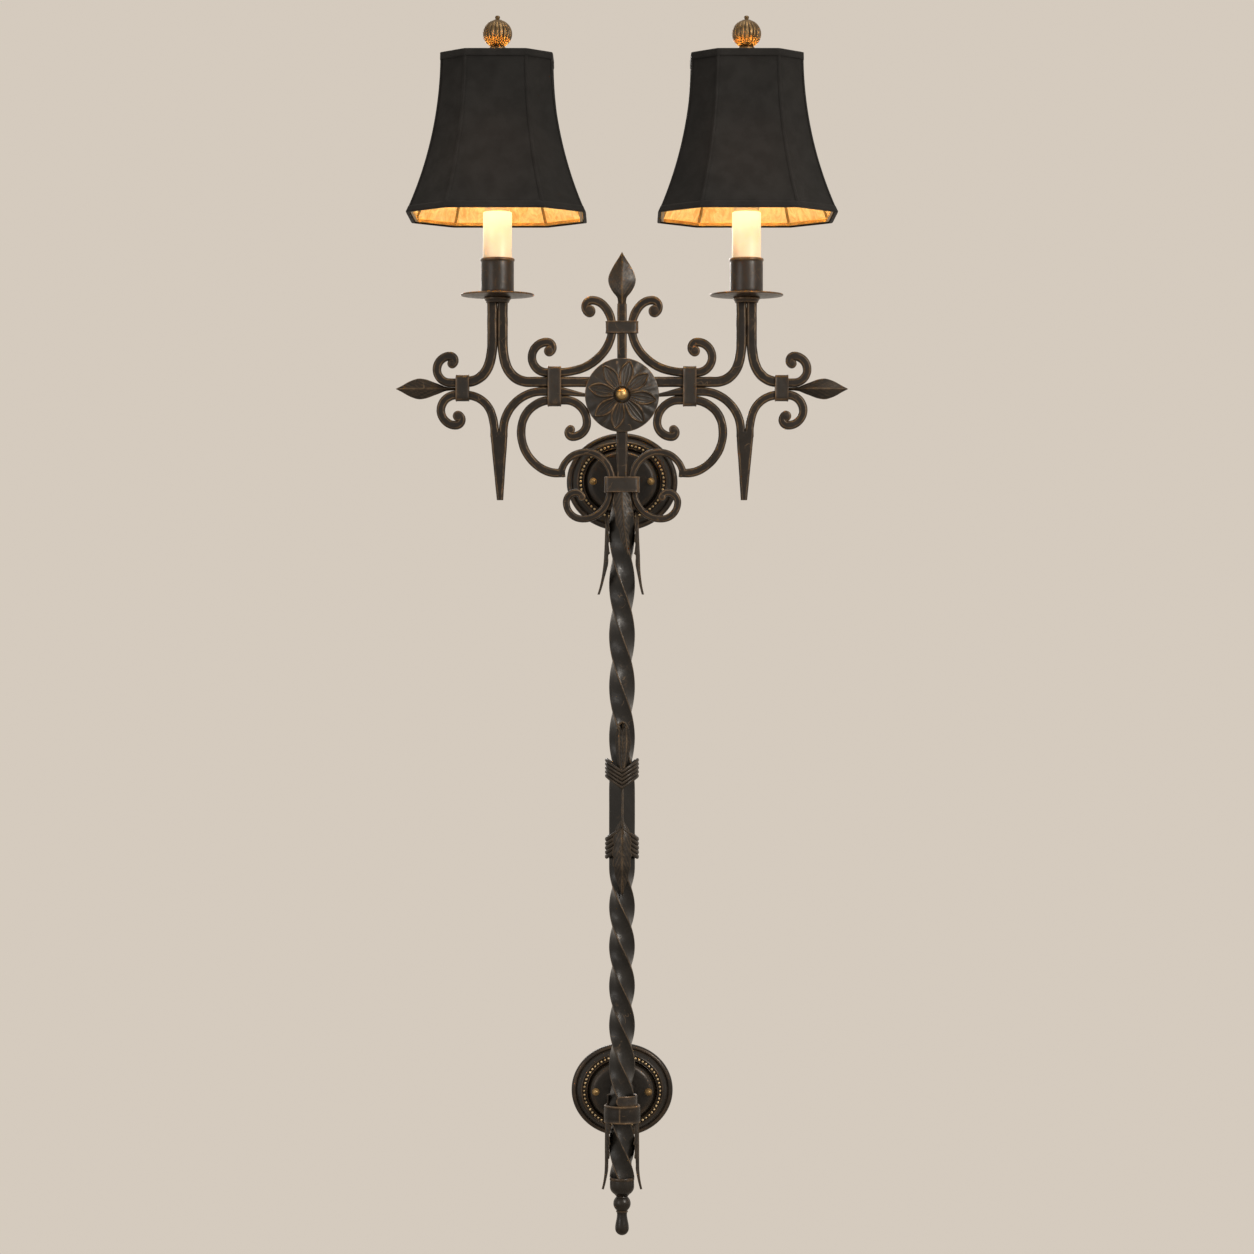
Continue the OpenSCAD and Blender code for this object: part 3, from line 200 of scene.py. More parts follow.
steel = metal_paint("strap_steel", (0.55, 0.55, 0.55), (0.4, 0.4, 0.4), 0.4)
bulb_cap = metal_paint("bulb_cap", (0.7, 0.68, 0.64), (0.5, 0.48, 0.45), 0.3)
seam_brown = metal_paint("seam_brown", (0.19, 0.1, 0.03), (0.1, 0.05, 0.015), 0.6, 0.0)


def finial_bronze():
    """Cast bronze, dark in its grooves."""
    n = Nodes("finial_bronze")
    groove = n.wear()
    f = n.noise(150, 5, 0.6)
    light = n.mix(n.range(f, 0.35, 0.68), (0.12, 0.075, 0.032), (0.25, 0.165, 0.078))
    n.set(Base_Color=n.mix(groove, light, (0.028, 0.017, 0.009)), Roughness=n.range(f, 0.3, 0.7, 0.34, 0.5),
          Metallic=n.math("SUBTRACT", 0.85, n.math("MULTIPLY", groove, 0.5)), Normal=n.bump(f, 0.0002, 0.7))
    return n.mat


def ivory(name, glow):
    """Waxy tube; where a glow is given, it is a painted glow of the lamp's light, brightest at its top, next to its
    lamp.
    """
    n = Nodes(name)
    f = n.noise(55, 4, 0.6)
    n.set(Base_Color=n.mix(n.range(f, 0.3, 0.7), (0.84, 0.73, 0.53), (0.9, 0.81, 0.64)), Roughness=0.42,
          Coat_Weight=0.25, Coat_Roughness=0.3)
    # Painted light: emission rising towards the top stands in for the lamp shining on the wax.
    if glow:
        dull_z, bright_z = 0.205, 0.268
        up = n.range(n.split("XYZ", n.co)[2], dull_z, bright_z, 0.25, 1.0)
        n.set(Emission_Strength=n.math("MULTIPLY", n.math("POWER", up, 2.2), glow),
              Emission_Color=(1.0, 0.84, 0.56, 1))
    n.set(Normal=n.bump(n.noise(140, 3), 0.0002, 0.4))
    return n.mat


def shade_cloth():
    """Near-black cloth with a fine weave, with a painted glow where a little of the lamp's light comes through."""
    n = Nodes("shade_cloth")
    weave = n.math("MULTIPLY", *[
        n.new("ShaderNodeTexWave", {"Vector": n.co, "Scale": scale, "Distortion": 1.2, "Detail": 2},
              wave_type="BANDS", bands_direction=way).outputs["Fac"]
        for way, scale in (("Z", 620), ("DIAGONAL", 520))])
    big = n.noise(16, 4, 0.55)
    col = n.mix(n.range(big, 0.3, 0.72), (0.0066, 0.0062, 0.0057), (0.0098, 0.0088, 0.0078))
    n.set(Base_Color=n.mix(n.math("MULTIPLY", weave, 0.4), col, (0.013, 0.0118, 0.0106)),
          Roughness=n.range(n.noise(60, 4), 0.3, 0.7, 0.62, 0.8), Specular_IOR_Level=0.22, Sheen_Weight=0.07,
          Sheen_Roughness=0.5, Sheen_Tint=(0.5, 0.45, 0.42, 1),
          Normal=n.bump(weave, 0.00012, 0.6, Normal=n.bump(big, 0.0012, 0.2)))
    # Painted glow: faint warm emission, strongest near each lamp, stands in for its light shining through the
    # cloth.
    lamp_z = 0.315
    where = n.split("XYZ", n.co)
    aside = n.math("SUBTRACT", n.math("ABSOLUTE", where[0]), CANDLE * MM)
    rise = n.math("SUBTRACT", where[2], lamp_z)
    near = n.math("ADD", n.math("MULTIPLY", aside, aside), n.math("MULTIPLY", rise, rise))
    n.set(Emission_Strength=n.range(n.math("POWER", near, 0.5), 0.015, 0.07, 0.004, 0.0),
          Emission_Color=(1.0, 0.5, 0.3, 1))
    return n.mat


def shade_gold():
    """Leaf gold laid in brushed squares over paper, with a painted glow as if lit by its lamp."""
    n = Nodes("shade_gold")
    cell = n.new("ShaderNodeTexVoronoi", {"Vector": n.co, "Scale": 60}, feature="F1")
    brushed = n.noise(90, 6, 0.75, 1.4, n.scaled((1.4, 1.4, 0.5)))
    col = n.mix(n.range(brushed, 0.32, 0.7), (0.62, 0.36, 0.09), (0.95, 0.71, 0.31))
    col = n.mix(n.math("MULTIPLY", n.split("Color", cell.outputs["Color"])[0], 0.35), col, (0.98, 0.82, 0.46))
    # Painted light: emission at a quarter of the gold's colour stands in for the lamp lighting the lining.
    n.set(Base_Color=col, Roughness=n.range(brushed, 0.3, 0.7, 0.34, 0.55), Metallic=0.35,
          Normal=n.bump(brushed, 0.0006, 0.5), Emission_Color=col, Emission_Strength=0.25)
    return n.mat


def lit_glass():
    """Frosted bulb, switched on."""
    n = Nodes("lit_glass")
    n.set(Base_Color=n.mix(n.range(n.noise(40, 3), 0.3, 0.7), (1.0, 0.9, 0.7), (1.0, 0.95, 0.82)), Roughness=0.4,
          Emission_Color=(1.0, 0.82, 0.52, 1), Emission_Strength=2.2)
    return n.mat


cast_bronze = finial_bronze()
sleeve_ivory = ivory("ivory_sleeve", 0.9)
holder_ivory = ivory("ivory_holder", 0.0)
cloth = shade_cloth()
gold = shade_gold()
glass = lit_glass()


# ---------------------------------------------------------------- mesh helpers
# A part is (points, faces, wear at each point).
def piece(name, node, part, mat, sharp=38, body=ROOT):
    """Makes an object of a part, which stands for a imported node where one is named."""
    verts, faces, wear = part
    me = bpy.data.meshes.new(name)
    me.from_pydata([(x * MM, y * MM, z * MM) for x, y, z in verts], [], faces)
    me.validate()
    me.materials.append(mat)
    bm = bmesh.new()
    bm.from_mesh(me)
    bmesh.ops.recalc_face_normals(bm, faces=bm.faces)
    bm.to_mesh(me)
    bm.free()
    if any(wear):
        layer = me.color_attributes.new("wear", "FLOAT_COLOR", "CORNER")
        values = [min(1.0, wear[v]) for p in me.polygons for v in p.vertices]
        layer.data.foreach_set("color", [c for w in values for c in (w, w, w, 1.0)])
    me.polygons.foreach_set("use_smooth", [True] * len(me.polygons))
    me.set_sharp_from_angle(angle=radians(sharp))
    ob = bpy.data.objects.new(name, me)
    bpy.context.scene.collection.objects.link(ob)
    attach(ob, body)
    if node:
        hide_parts(node)
    return ob


def join(*parts):
    verts, faces, wear = [], [], []
    for v, f, w in parts:
        k = len(verts)
        verts += v
        faces += [[i + k for i in face] for face in f]
        wear += w
    return verts, faces, wear


def mirrored(part):
    v, f, w = part
    return [(-x, y, z) for x, y, z in v], [face[::-1] for face in f], w


def both(part):
    return join(part, mirrored(part))


def turned(part, fn):
    v, f, w = part
    return [fn(*p) for p in v], f, w


def shifted(part, dx=0.0, dy=0.0, dz=0.0):
    return turned(part, lambda x, y, z: (x + dx, y + dy, z + dz))


def round_about(n):
    """n directions, in radians."""
    return [TAU * j / n for j in range(n)]


def level_ring(x, y, z, r, n):
    return [(x + r * cos(a), y + r * sin(a), z) for a in round_about(n)]


def front_ring(x, y, z, rx, rz, n):
    """Oval ring that faces the front."""
    return [(x + rx * cos(a), y, z + rz * sin(a)) for a in round_about(n)]


def loft(rings, wear=None, closed=False):
    """Skin through rings of points, with wear by point or by ring. Unless closed, both ends are capped."""
    n, m = len(rings[0]), len(rings)
    if wear and len(wear) == m:
        wear = [v for v in wear for _ in range(n)]
    faces = []
    for i in range(m if closed else m - 1):
        k = (i + 1) % m
        faces += [[i * n + j, k * n + j, k * n + (j + 1) % n, i * n + (j + 1) % n] for j in range(n)]
    if not closed:
        faces += [list(range(n)), [(m - 1) * n + j for j in reversed(range(n))]]
    return [p for ring in rings for p in ring], faces, wear or [0.0] * (n * m)


def skin(rows, columns, at, closed=False):
    """Skin with a ring for each row and a point for each column; at(row, column) gives x, y, z and wear."""
    points = [[at(row, column) for column in columns] for row in rows]
    return loft([[q[:3] for q in ring] for ring in points], [q[3] for ring in points for q in ring], closed)


def lathe(profile, n=96, wear=None, closed=False, at=(0.0, 0.0, 0.0)):
    """Turns a profile of (radius, height) about an upright axis."""
    return loft([level_ring(at[0], at[1], at[2] + h, r, n) for r, h in profile], wear, closed)


def sphere(x, y, z, r, n):
    angles = [radians(-90 + 180 * i / (n // 2)) for i in range(n // 2 + 1)]
    return lathe([(max(0.001, r * cos(a)), r * sin(a)) for a in angles], n, at=(x, y, z))


def lookup(t, table):
    if t <= table[0][0]:
        return table[0][1]
    for (a, va), (b, vb) in zip(table, table[1:]):
        if t <= b:
            return va + (vb - va) * (t - a) / (b - a)
    return table[-1][1]


def smooth(t, table):
    """Like lookup, but rounded between the rows."""
    if t <= table[0][0] or t >= table[-1][0]:
        return lookup(t, table)
    i = next(i for i in range(len(table) - 1) if t <= table[i + 1][0])
    (a, va), (b, vb) = table[i], table[i + 1]
    u = (t - a) / (b - a)
    before, later = table[max(0, i - 1)], table[min(len(table) - 1, i + 2)]
    ta = (vb - before[1]) / max(1e-6, b - before[0]) * (b - a)
    tb = (later[1] - va) / max(1e-6, later[0] - a) * (b - a)
    return ((2 * u ** 3 - 3 * u ** 2 + 1) * va + (u ** 3 - 2 * u ** 2 + u) * ta
            + (3 * u ** 2 - 2 * u ** 3) * vb + (u ** 3 - u ** 2) * tb)


# Chamfer of a forged bar: place along the face, place along the side, wear
BEVEL = [(1.5, 0.0, 0.0), (1.12, 0.02, 0.6), (0.86, 0.1, 1.0), (0.52, 0.34, 0.3), (0.1, 0.86, 0.25),
         (0.0, 1.4, 0.0)]


def strip(pairs, seed, depth=DEPTH, c=CHAMFER):
    """Forged flat bar from the two edges of its face, with soft chamfers; depth may be a list by pair."""
    rings, wear = [], []
    for i, (l, r) in enumerate(pairs):
        w = math.dist(l, r)
        ux, uz = (r[0] - l[0]) / w, (r[1] - l[1]) / w
        d = depth[i] if isinstance(depth, list) else depth
        mx, mz = (l[0] + r[0]) / 2 * 0.1, (l[1] + r[1]) / 2 * 0.1
        left, right, thick = [UNEVEN * noise.noise(Vector((mx, mz, seed + k))) for k in (0, 5, 9)]
        k = min(c, 0.28 * w, 0.3 * d) * (1 + 0.3 * noise.noise(Vector((mx * 2, mz * 2, seed + 3))))
        d += thick
        ring = []
        for sx, sy in ((0, -1), (1, -1), (1, 1), (0, 1)):
            for a, b, v in BEVEL[::-1] if (sx, sy) in ((0, -1), (1, 1)) else BEVEL:
                e = w - a * k + right if sx else a * k + left
                ring.append((l[0] + ux * e, -OUT + sy * (d / 2 - b * k), l[1] + uz * e))
                wear.append(v)
        rings.append(ring)
    return loft(rings, wear)


def disc(x, z, r, c):
    """Round eye of a scroll, a little crowned on both faces."""
    depth = DEPTH * 1.02
    prof = [(0.02, -0.52), (0.45, -0.515), (r - 1.3 * c, -0.5), (r - 0.82 * c, -0.5 + 0.1 * c / depth),
            (r - 0.1 * c, -0.5 + 0.82 * c / depth), (r, -0.5 + 1.3 * c / depth)]
    prof += [(a, -b) for a, b in prof[::-1]]
    wear = [1.0 if i in (3, 4, 7, 8) else 0.1 for i in range(len(prof))]
    return loft([front_ring(x, -OUT + b * depth, z, a, a, 28) for a, b in prof], wear)


# ---------------------------------------------------------------- bends of the scroll bars
# A place is (x, z, heading). A bend is (radius, degrees), left being positive, or (0, length) for a straight.
def after(p, b):
    x, z, h = p
    if b[0] == 0:
        return (x + b[1] * cosd(h), z + b[1] * sind(h), h)
    r, q = math.copysign(b[0], b[1]), h + b[1]
    return (x + r * (sind(q) - sind(h)), z - r * (cosd(q) - cosd(h)), q)


def place(bends, start=(0, 0, 0)):
    for b in bends:
        start = after(start, b)
    return start


def walk(start, bends):
    """Places along the bends without the start: every 3 mm on a straight, closer on tighter bends."""
    out, p = [], start
    for b in bends:
        n = max(1, round(abs(b[1]) / 3)) if b[0] == 0 else math.ceil(abs(b[1]) * 1.6 * sqrt(b[0]) / 23)
        out += [after(p, (b[0], b[1] * k / n)) for k in range(1, n + 1)]
        p = after(p, b)
    return out


def run(start, bends, w):
    """Edge pairs of a bar of width w along its bends."""
    def beside(p, side):
        return (p[0] - side * w / 2 * sind(p[2]), p[1] + side * w / 2 * cosd(p[2]))

    return [(beside(p, 1), beside(p, -1)) for p in [start] + walk(start, bends)]


def curl(start, bends, w, r, side, seed):
    """Bar that ends in a snub: a tight turn of the thinned bar that closes on a round eye."""
    pairs = run(start, bends, w)
    x, z, heading = place(bends, start)
    far, eye = 0.6 * w, 0.55 * r
    inner = max(0.2, r - (w + far) / 2)
    cc, ss = cosd(heading), sind(heading)

    def world(u, v):
        return (x + u * cc - side * v * ss, z + u * ss + side * v * cc)

    for a in range(-81, 64, 9):
        ca, sa = cosd(a), sind(a)
        o = world(r * ca, r - w / 2 + r * sa)
        b = world(inner * ca, r - far / 2 + inner * sa)
        pairs.append((b, o) if side > 0 else (o, b))
    ex, ez = world((r - eye) * sind(150), r - w / 2 - (r - eye) * cosd(150))
    return join(strip(pairs, seed), disc(ex, ez, eye, CHAMFER * 0.9))


def upright(span, r, a):
    """Radius of the bend that, after a lead bend (r, a), brings a bar upright within span."""
    return (span - r * sind(a)) / (1 - sind(a))


def drop(r, a):
    return r * (1 - cosd(a))


# Bars that lie on each other in the side bands, from the arm bar
LEAD, TANG = 3.4, 3.5
UPPER_Z = ARM_Z + (ARM_W + SCROLL_W) / 2 + SEAT
SPIKE_Z = ARM_Z - (ARM_W + SCROLL_W) / 2 - SEAT
C_Z = SPIKE_Z - SCROLL_W - SEAT
LOW_Z = SPIKE_Z - TANG - SEAT
TANG_Z = ARM_Z - (ARM_W + TANG) / 2 - SEAT
# Stem under a candle
STEM_LEAD_R, STEM_LEAD_A = 24, 71
STEM_R = upright(OUTER_OUT - LEAD - (ARM_W + SEAT) / 2, STEM_LEAD_R, STEM_LEAD_A)
STEM_UP = STEM_RISE - (drop(STEM_LEAD_R, STEM_LEAD_A) + STEM_R * cosd(STEM_LEAD_A))
STEM = [(STEM_LEAD_R, STEM_LEAD_A), (STEM_R, 90 - STEM_LEAD_A)]
# Spike under a candle, welded from two bars
SPIKE_IN, SPIKE_LEN, SPIKE_LEAN = 1.5, 66.2, 1.0
SPIKE_LEAD_R, SPIKE_LEAD_A, SPIKE_INNER_R = 27, 72, 39.3
SPIKE_X = CANDLE - SPIKE_IN
SPIKE_R = upright(OUTER_OUT + SPIKE_IN - LEAD - SCROLL_W / 2, SPIKE_LEAD_R, SPIKE_LEAD_A)
LEFT_BEND = LOW_Z - drop(SPIKE_LEAD_R, SPIKE_LEAD_A) - SPIKE_R * cosd(SPIKE_LEAD_A)
RIGHT_BEND = SPIKE_Z - SPIKE_INNER_R
SPIKE_TOP = min(LEFT_BEND, RIGHT_BEND) - 0.5
# Upper scroll beside the centre bar
EASE = [(0, 3), (80, 12), (50.5, 46)]
EASE_X = (CENTRE_W + SCROLL_W) / 2 + 0.8
EASE_R = (BAND_X - EASE_X - place(EASE)[0]) / (1 - sind(58))
# Arch, hip and waist
HIP_X, HIP_Z = (BAR_SIDE + ARCH_W) / 2 - 0.7, -6.8
HIP_LOW = HIP_Z - 7.8
WAIST_X, WAIST_Z, WAIST_LEN = (CENTRE_LOW + ARCH_W) / 2 + 0.8, -3.0, 11.0
WAIST_A = 2 * math.degrees(math.atan((HIP_X - WAIST_X) / WAIST_LEN))
WAIST_R = WAIST_LEN / (2 * sind(WAIST_A))
ARCH = [(30.3, 48.7), (24.7, 109.8), (49, 6.5)]
ARCH_END = place(ARCH, (-WAIST_X, WAIST_Z, 90))
# Large C, from its band round to the mitre on the arch's end
MITRE_A = -65
C_LEAD_R, C_LAST_R, C_TURNS = 30, 30.5, (79, 72, 33)
C_COS = [cosd(180 + sum(C_TURNS[:k])) for k in (1, 2, 3)]
C_MID = ((C_Z - ARCH_END[1] - C_LEAD_R * (1 + C_COS[0]) - C_LAST_R * (C_COS[2] - C_COS[1]))
         / (C_COS[1] - C_COS[0]))
BIG_C = [(0, 3), (C_LEAD_R, C_TURNS[0]), (C_MID, C_TURNS[1]), (C_LAST_R, C_TURNS[2])]
ROSE_Z = ARM_Z - 13.4
# Square bar, lower arm and plates
BAR_TOP_Z, BAR_LOW_Z = -7.0, -699.0
CENTRE_TOP_Z = 174
LOWER_ARM_Z = -622.0
# name, width, height, height of the middle, shift of the arm's hole, beads
PLATES = [("upper_plate", 114, 100.5, 0, -3.5, 62), ("lower_plate", 104, 95, -624.5, 2.5, 58)]


def mitred(pairs):
    """Ends a bar on the mitre line through the arch's end."""
    ux, uz = cosd(MITRE_A), sind(MITRE_A)
    (a, b), (l, r) = pairs[-2], pairs[-1]

    def meet(p, q):
        dx, dz = q[0] - p[0], q[1] - p[1]
        t = ((ARCH_END[0] - p[0]) * uz - (ARCH_END[1] - p[1]) * ux) / (dx * uz - dz * ux)
        return (p[0] + dx * t, p[1] + dz * t)

    return pairs[:-1] + [(meet(a, l), meet(b, r))]


def bar_piece(name, node, part):
    piece(name, node, part, iron_bar)


def arm_bars():
    c = 1.9
    outer = join(strip(run((-OUTER_X, ARM_Z, 0), [(0, LEAD), *STEM, (0, STEM_UP)], ARM_W), 1, c=c),
                 strip(run((-OUTER_X - 0.1, ARM_Z, 0), [(0, 0.2)], ARM_W), 1, c=c),
                 curl((-OUTER_X, ARM_Z - 0.8, 180), [(0, 12.3), (13.3, -180)], SCROLL_W, 8.5, -1, 1))
    bar_piece("outer_arm_bars", "outer_arms", both(outer))
    level = run((-BAND_X - 3, ARM_Z, 0), [(0, BAND_X + 3 - CENTRE_W / 2 - SEAT)], ARM_W)
    stem = run((-BAND_X, ARM_Z, 180), [(0, 21.9 + LEAD), *[(r, -a) for r, a in STEM], (0, STEM_UP)], ARM_W)
    bar_piece("inner_arm_bars", "inner_arms", both(join(strip(level, 2, c=c), strip(stem, 2, c=c))))


def spike_bars():
    """Two bars that come together under a candle, the tapering weld, and the bar's tail and curl."""
    outer = run((-OUTER_X - 3, LOW_Z, 0), [(0, LEAD + 3), (SPIKE_LEAD_R, -SPIKE_LEAD_A),
                                           (SPIKE_R, SPIKE_LEAD_A - 90), (0, LEFT_BEND - SPIKE_TOP + 3)], SCROLL_W)
    inner = run((-BAND_X, SPIKE_Z, 180), [(0, SPIKE_X - SCROLL_W / 2 - BAND_X - SPIKE_INNER_R),
                                          (SPIKE_INNER_R, 90), (0, RIGHT_BEND - SPIKE_TOP + 3)], SCROLL_W)
    steps, tip_half = 18, 3.15
    rows = [(0, SPIKE_TOP + 2.6, SCROLL_W - 1.0, 0.94), (0, SPIKE_TOP + 1.2, SCROLL_W - 0.1, 1.0)]
    rows += [(i, SPIKE_TOP - SPIKE_LEN * i / steps, SCROLL_W - (SCROLL_W - tip_half) * i / steps,
              1.01 - 0.39 * i / steps) for i in range(steps + 1)]
    weld, thick = [], []
    for i, z, half, deep in rows:
        mid = -SPIKE_X + SPIKE_LEAN * i / steps
        weld.append(((mid + half + 0.05, z), (mid - half - 0.05, z)))
        thick.append(DEPTH * deep)
    tail = [((-BAND_X + x, SPIKE_Z + a), (-BAND_X + x, SPIKE_Z + b)) for x, a, b in
            [(-4, 4.3, -4.3), (8, 4.3, -4.3), (16, 2.3, -4.5), (24, -0.2, -4.9), (31, -2.0, -5.3),
             (38, -3.6, -5.4)]]
    spikes = join(strip(outer, 3), strip(inner, 4), strip(weld, 3, thick), strip(tail, 3),
                  curl((-OUTER_X, LOW_Z, 180), [(0, 6.5), (15.1, 180)], SCROLL_W, 9.7, 1, 3))
    bar_piece("spike_bars", "spike_scrolls", both(spikes))


def scroll_bars():
    top = join(curl((-BAND_X - 3, UPPER_Z, 0), [(0, 3), *EASE, (EASE_R, 32), (0, 1), (32, 42), (16, 48)],
                    SCROLL_W, 10.9, 1, 5),
               curl((-BAND_X, UPPER_Z, 180), [(0, 7.3), (15.2, -180)], SCROLL_W, 9.6, -1, 5))
    bar_piece("upper_scroll_bars", "upper_scrolls", both(top))
    small = curl((-BAND_X - 3, C_Z, 0), [(0, 13.5), (22, -90), (14.5, -90)], SCROLL_W, 8.2, -1, 6)
    start = (-BAND_X, C_Z, 180)
    past = ARCH_END[0] - place(BIG_C, start)[0] + 7
    big = mitred(run(start, [*BIG_C, (0, past)], SCROLL_W))
    bar_piece("c_scroll_bars", "c_scrolls", both(join(small, strip(big, 6))))
    arch = mitred(run((-WAIST_X, WAIST_Z, 90), [*ARCH, (0, 7)], ARCH_W))
    start = (-WAIST_X, WAIST_Z + 1, -90)
    fall = [(0, 1), (WAIST_R, -WAIST_A), (WAIST_R, WAIST_A), (27, -90), (16.5, -90), (10, -90), (6, -75)]
    tip = place(fall, start)
    arches = join(strip(arch, 7, c=1.5), strip(run(start, fall, ARCH_W), 7, c=1.5),
                  disc(tip[0], tip[1], ARCH_W / 2 + 0.3, 1.4))
    bar_piece("arch_bars", "arch_scrolls", both(arches))
    centre = []
    for z in [BAR_TOP_Z, *range(2, 172, 8), CENTRE_TOP_Z]:
        half = lookup(z, [(ROSE_Z - 7, CENTRE_LOW / 2), (ROSE_Z + 7, CENTRE_W / 2)])
        centre.append(((-half, z), (half, z)))
    bar_piece("centre_bar_forged", "centre_bar", strip(centre, 8, CENTRE_W, 1.6))


arm_bars()
spike_bars()
scroll_bars()


# ---------------------------------------------------------------- bands
def perimeter(w, h, r):
    """Points and outward normals round a rounded rectangle."""
    out, signs = [], ((1, 1), (-1, 1), (-1, -1), (1, -1))
    for q, (sx, sy) in enumerate(signs):
        for i in range(6):
            a = radians(90 * q + 90 * i / 5)
            out.append((sx * (w / 2 - r) + r * cos(a), sy * (h / 2 - r) + r * sin(a), cos(a), sin(a)))
        x, y, nx, ny = out[-1]
        tx, ty = signs[(q + 1) % 4]
        ex, ey = tx * (w / 2 - r) + r * nx, ty * (h / 2 - r) + r * ny
        out += [(x + (ex - x) * k / 6, y + (ey - y) * k / 6, nx, ny) for k in range(1, 6)]
    return out


def band_ring(w, h, length, seed, t=1.6, r=2.6, rim=0.3):
    """Band of sheet along z round a bundle w by h, with a raised rim at both ends and rubbed folds."""
    low, parts = -length / 2, 5
    prof = [(low, 0.1, 0.2), (low, 0.75 * t, 0.6), (low + 0.25, t + rim * 0.8, 1.0), (low + 0.6, t + rim, 0.9),
            (low + 1.0, t + rim * 0.7, 0.5), (low + 1.5, t, 0.1)]
    prof += [(low + 1.5 + (length - 3.0) * i / parts, t, 0.0) for i in range(1, parts)]
    prof += [(-s, e, v) for s, e, v in prof[5::-1]]

    def at(row, edge):
        (s, e, v), (x, y, nx, ny) = row, edge
        d = e + 0.22 * noise.noise(Vector((x * 0.15 + seed, y * 0.15, s * 0.2)))
        return (x + nx * d, y + ny * d, s, max(v, 0.6 if abs(nx) > 0.35 and ny < -0.35 else 0.0))

    return skin(prof, perimeter(w, h, r), at, closed=True)


TOP_BAND_Z = place([*EASE, (EASE_R, 32)], (0, UPPER_Z, 0))[1] + 0.8
# kind, distance from the centre line, height of its bars, top of the uppermost bar, seeds left and right
SIDE_BANDS = [("inner", BAND_X, ARM_W + 3 * SCROLL_W + 0.3, ARM_Z + ARM_W / 2 + SEAT + SCROLL_W, (2, 3)),
              ("outer", OUTER_X, ARM_W + TANG + SCROLL_W + 0.2, ARM_Z + ARM_W / 2, (4, 5))]


def bands():
    deep, side_length = 9.8, 13.6

    def band_piece(name, node, part):
        piece(name, node, part, iron_band)

    band_piece("top_band_sheet", "top_band",
               shifted(band_ring(2 * EASE_X + SCROLL_W + 1.0, 9.9, 12.2, 1), 0, -OUT, TOP_BAND_Z))
    for kind, from_centre, stack, top, seeds in SIDE_BANDS:
        pair = []
        for x, seed in zip((-from_centre, from_centre), seeds):
            ring = band_ring(stack + 0.4, deep, side_length, seed)
            pair.append(turned(ring, lambda a, b, c: (x + c, -OUT + b, top - stack / 2 + a)))
        band_piece(kind + "_band_sheets", kind + "_bands", join(*pair))
    hip = band_ring(2 * HIP_X + ARCH_W + 0.6, BAR_SIDE + 0.2, 15.6, 6, 1.5, 3.4, 0.12)
    band_piece("hip_band_sheet", "hip_band", shifted(hip, 0, -OUT, HIP_Z))


bands()


# ---------------------------------------------------------------- leaves
def blade(rows, ridge, back, vein, m, steps, put, lobe=None, crown=1.25):
    """Forged leaf as a closed skin. rows: (share, half width); ridge and back: thickness by share."""
    rings, wear = [], []
    for i in range(steps + 1):
        t = i / steps
        half = max(0.12, smooth(t, rows))
        left, right = (half * lobe(t, -1), half * lobe(t, 1)) if lobe else (half, half)
        ahead, behind = lookup(t, ridge), lookup(t, back)
        ring = []
        for j in range(-m, m + 1):
            u = j / m
            x = u * (left if u < 0 else right)
            front = ahead * max(0.0, 1 - abs(u) ** crown)
            line = exp(-(x / (0.42 + 0.05 * half)) ** 2)
            side = 0.16 * vein * sin(2.1 * (t * 30 - abs(x) * 0.9)) * abs(u) * (1 - abs(u)) * 4
            front += vein * line * min(1, ahead) + side
            ring.append((x, -front, t))
            wear.append(min(1.0, max(0.9 * line, 0.7 if abs(u) > 0.95 else 0.0, 0.3 * (side > 0.03))))
        for j in range(m - 1, -m, -1):
            u = j / m
            ring.append((u * (left if u < 0 else right), behind * max(0.0, 1 - abs(u) ** 2), t))
            wear.append(0.15)
        rings.append([put(*p) for p in ring])
    return loft(rings, wear)


def bumps(tips, depth):
    """Lobed edge: full width at each tip, less just after it."""
    def lobe(t, s):
        for a, b in zip([0] + tips, tips):
            if t <= b:
                u = (t - a) / (b - a)
                return 1 - depth + depth * u ** 2.0 + 0.04 * s * sin(40 * t)
        return 1 - depth * 0.6 * (t - tips[-1]) / (1 - tips[-1])
    return lobe


def leaf_piece(name, node, part):
    piece(name, node, part, iron_leaf, 50)


def spears():
    """Upright leaf on the centre bar and a level one on the tang in each outer band."""
    rows = [(0, 4.1), (0.06, 4.2), (0.13, 5.0), (0.23, 9.2), (0.35, 12.6), (0.46, 13.8), (0.56, 12.9), (0.66, 10.6),
            (0.77, 7.4), (0.88, 3.7), (0.96, 1.2), (1, 0.2)]
    thick = [(0, 4.0), (0.2, 4.6), (0.45, 4.6), (0.8, 2.4), (1, 0.4)]
    length = 52
    leaf_piece("top_leaf_forged", "top_leaf",
               blade(rows, thick, thick, 0.7, 10, 44, lambda x, y, t: (x, -OUT + y, CENTRE_TOP_Z + length * t)))
    rows = [(0, 1.6), (0.26, 1.65), (0.335, 2.4), (0.375, 3.6), (0.42, 5.0), (0.47, 6.3), (0.57, 9.1), (0.64, 10.2),
            (0.69, 10.4), (0.74, 9.6), (0.825, 7.2), (0.92, 3.2), (1, 0.2)]
    thick = [(0, 1.7), (0.3, 1.9), (0.42, 2.6), (0.6, 3.6), (0.75, 3.3), (1, 0.3)]
    root_x, length = -OUTER_X + 6.8, 73.3
    pair = [blade(rows, thick, thick, 0.55, 8, 44,
                  lambda x, y, t: (s * (root_x - length * t), -OUT + y, TANG_Z + s * x)) for s in (1, -1)]
    leaf_piece("side_leaves_forged", "side_leaves", join(*pair))


